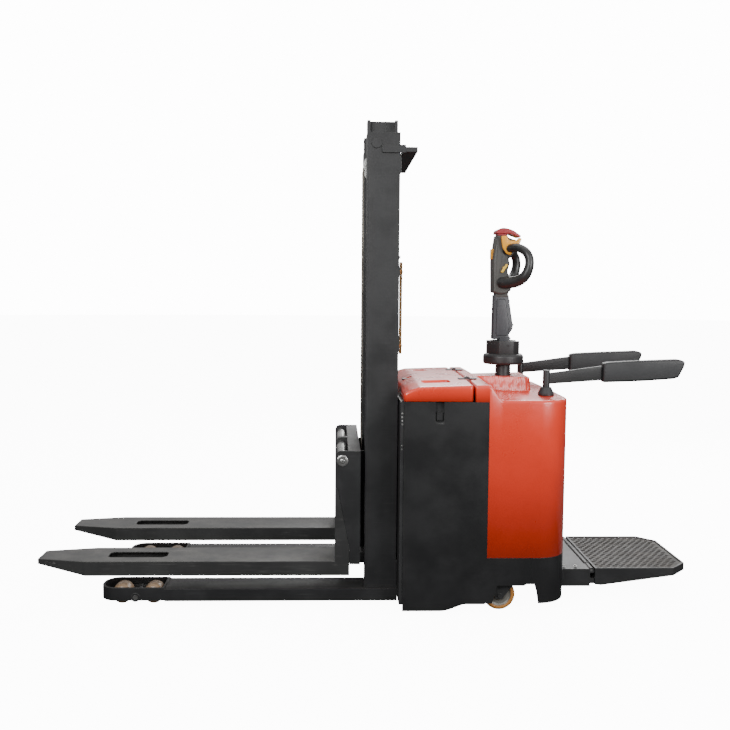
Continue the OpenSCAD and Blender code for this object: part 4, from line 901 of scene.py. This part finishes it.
mat_rubber = finish("mat_rubber", sprayed(38, 36, 34), 0.66, grain=900, depth=1.2, tone=0.12, dust=0.12)
low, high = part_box("platform_mat")
cut = 70 * MM
mat_plan = rounded([(low.x, low.y), (high.x - cut + 8 * MM, low.y), (high.x, low.y + cut - 8 * MM),
                    (high.x, high.y - cut + 8 * MM), (high.x - cut + 8 * MM, high.y), (low.x, high.y)],
                   6 * MM)
base = padded_plate(mat_plan, low.z, low.z + 2.0 * MM, 0.8 * MM, "xy", 3)
pitch_x, pitch_y = 28 * MM, 20 * MM
columns = np.arange(low.x + 14 * MM, high.x - 12 * MM, pitch_x)
rows = np.arange(low.y + 12 * MM, high.y - 10 * MM, pitch_y)
stud_x, stud_y = np.meshgrid(columns, rows, indexing="ij")
stud_x = stud_x + np.where(np.arange(len(rows)) % 2, pitch_x / 2, 0)
keep = (stud_x < high.x - 12 * MM) & (stud_x + np.abs(stud_y) < high.x + high.y - cut - 10 * MM)
spots = np.stack([stud_x[keep], stud_y[keep], np.full(keep.sum(), low.z)], -1)


def repeated(patch, offsets):
    """The same patch at every offset, as one patch."""
    points, faces = patch
    many = (points[None] + offsets[:, None]).reshape(-1, 3)
    shifted = [[corner + k * len(points) for corner in face] for k in range(len(offsets)) for face in faces]
    return many, shifted


angle = around(12)
oval = np.stack([9.0 * MM * np.cos(angle), 5.5 * MM * np.sin(angle)], -1)
levels = [(1.6 * MM, 1.0), (4.4 * MM, 0.9), (5.4 * MM, 0.7)]
stud = skin(np.array([[(*(point * share), z) for point in oval] for z, share in levels]))
piece("grip_mat", "platform", mat_rubber, [base, repeated(stud, spots)], ("platform_mat",))

# ---- lift chains ----
# Leaf chain: rows of figure-eight link plates on pins. The front strands run from an
# anchor on the carriage to the sheaves, and shorten as the carriage climbs the mast.

def leaf_chain(x, y, low, high, wide):
    """Plates a pitch apart, odd and even rows half a pitch apart, and a pin at every joint."""
    pitch = 15.875 * MM
    angle = around(16)
    tall = np.abs(np.sin(angle)) ** 0.6 * np.sign(np.sin(angle)) * pitch * 0.98
    waist = 2.9 * MM * (1 - 0.28 * (np.abs(tall) < pitch * 0.35)) * np.sign(np.cos(angle)) \
        * np.abs(np.cos(angle)) ** 0.45
    plate = np.stack([waist, tall], -1)
    joints = np.arange(low + pitch, high - pitch, pitch)
    even, odd = joints[::2], joints[1::2]
    lanes = np.linspace(-wide / 2, wide / 2, 6)
    patches = []
    for lane in range(5):
        flat = padded_plate(plate, lanes[lane] + 0.1 * MM, lanes[lane + 1] - 0.1 * MM, 0.3 * MM, steps=2)
        centres = even if lane % 2 else odd
        patches.append(repeated(flat, np.array([(x, y, z) for z in centres])))
    reach = wide / 2 + 0.6 * MM
    pin = round_bar(-reach, reach, 2.1 * MM, (0, 0, 0), bore=1 * MM, rounds=8)
    patches.append(repeated(pin, np.array([(x, y, z + pitch / 2) for z in joints])))
    return patches


low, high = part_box("lift_chains")
strand_x = (low.x + high.x) / 2
sheave_z = high.z
anchor_z = 226 * MM
strand_y = 60 * MM
upper, lower = [], []
for flank in (-1, 1):
    place = (strand_x, flank * strand_y, 0)
    upper += leaf_chain(*place[:2], anchor_z + 90 * MM, sheave_z, 15 * MM)
    lower += leaf_chain(*place[:2], anchor_z, anchor_z + 215 * MM, 16 * MM)
    lower += [round_bar(low.z, anchor_z - 14 * MM, 5 * MM, place, "z", 1 * MM, 1 * MM, 24),
              round_bar(low.z + 6 * MM, low.z + 15 * MM, 9 * MM, place, "z", 1 * MM, rounds=6),
              round_bar(anchor_z - 14 * MM, anchor_z + 12 * MM, 7 * MM, place, "z", 1 * MM, 1.5 * MM, 24)]
rising = piece("front_chain_strands", "inner_mast", oiled_chain, upper)
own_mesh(rising)
piece("chain_ends", "carriage", oiled_chain, lower, ("lift_chains",))

# ---- clear guard ----
# A polycarbonate screen behind the mast, between the driver and the lift chains, with
# folded edges that show amber where the light runs along them.

def clear_sheet(name, tint, edge_glow_amber):
    """Thin clear plastic: mostly see-through face on, painted amber and less see-through along its edges,
    where the colour stands in for light running along the sheet.
    """
    material = bpy.data.materials.new(name)
    material.use_nodes = True
    tree = material.node_tree
    shader = tree.nodes["Principled BSDF"]
    shader.inputs["Transmission Weight"].default_value = 0.75
    shader.inputs["Metallic"].default_value = 0.0
    shader.inputs["IOR"].default_value = 1.45
    parts = tree.nodes.new("ShaderNodeSeparateXYZ")
    facing = tree.nodes.new("ShaderNodeNewGeometry")
    tree.links.new(facing.outputs["Normal"], parts.inputs[0])
    sideways = sharpened(tree, math_node(tree, "ABSOLUTE", parts.outputs[1], 0.0), 0.5, 0.95)
    smears = use_group(tree, coat_grain, Scale=60.0, Depth=0.3)
    # Faces turned sideways get the edge colour: a painted amber glow for light running along the folds.
    tree.links.new(blended(tree, sideways, tint, edge_glow_amber), shader.inputs["Base Color"])
    tree.links.new(math_node(tree, "ADD", math_node(tree, "MULTIPLY", smears.outputs["Tone"], 0.06), 0.05),
                   shader.inputs["Roughness"])
    tree.links.new(math_node(tree, "ADD", math_node(tree, "MULTIPLY", sideways, 0.72), 0.2),
                   shader.inputs["Alpha"])
    return material


guard_clear = clear_sheet("guard_clear", sprayed(238, 240, 236), sprayed(205, 160, 100))
pane_half, fold = 250 * MM, 4 * MM
panes = [padded_plate(rectangle(-pane_half, pane_half, guard_low.z, guard_high.z, 6 * MM),
                      guard_high.x - fold, guard_high.x, 0.8 * MM, "yz", 3)]
edge_view = rectangle(guard_low.x, guard_high.x - 1 * MM, guard_low.z, guard_high.z, 2 * MM, 3)
panes += [padded_plate(edge_view, low_y, low_y + fold, 0.6 * MM) for low_y in (-pane_half, pane_half - fold)]
piece("guard_screen", "chassis", guard_clear, panes, ("mast_guard",))
spacers = [round_bar(guard_low.x, guard_high.x - 4.5 * MM, 8 * MM, (0, flank * guard_screw_y, z), "x",
                     2 * MM, 1 * MM, 24) for flank in (-1, 1) for z in guard_rows]
piece("guard_spacers", "chassis", wing_orange, spacers)

# ---- studio floor ----
# A wide pale disc, lit from within as a light table is, so that it meets the white
# backdrop with no line and still takes a soft shadow under the truck.

FLOOR_GLOW = 11.0

floor_paint = bpy.data.materials.new("studio_floor_paint")
floor_paint.use_nodes = True
floor_tree = floor_paint.node_tree
floor_shader = floor_tree.nodes["Principled BSDF"]
floor_shader.inputs["Roughness"].default_value = 0.9
floor_shader.inputs["Specular IOR Level"].default_value = 0.0
floor_shader.inputs["Emission Color"].default_value = (1, 1, 1, 1)
floor_sight = floor_tree.nodes.new("ShaderNodeLightPath")
camera_ray = floor_sight.outputs["Is Camera Ray"]
floor_tree.links.new(blended(floor_tree, camera_ray, (0.05, 0.05, 0.05, 1), (0.95, 0.95, 0.95, 1)),
                     floor_shader.inputs["Base Color"])
floor_tree.links.new(math_node(floor_tree, "MULTIPLY", camera_ray, FLOOR_GLOW),
                     floor_shader.inputs["Emission Strength"])
FLOOR_RADIUS = 40.0
angle = around(96)
rim = np.stack([FLOOR_RADIUS * np.cos(angle), FLOOR_RADIUS * np.sin(angle), 0 * angle - 0.5 * MM], -1)
floor_mesh = bpy.data.meshes.new("studio_floor")
floor_mesh.from_pydata(rim.tolist(), [], [list(range(96))])
floor_mesh.materials.append(floor_paint)
floor = bpy.data.objects.new("studio_floor", floor_mesh)
scene.collection.objects.link(floor)
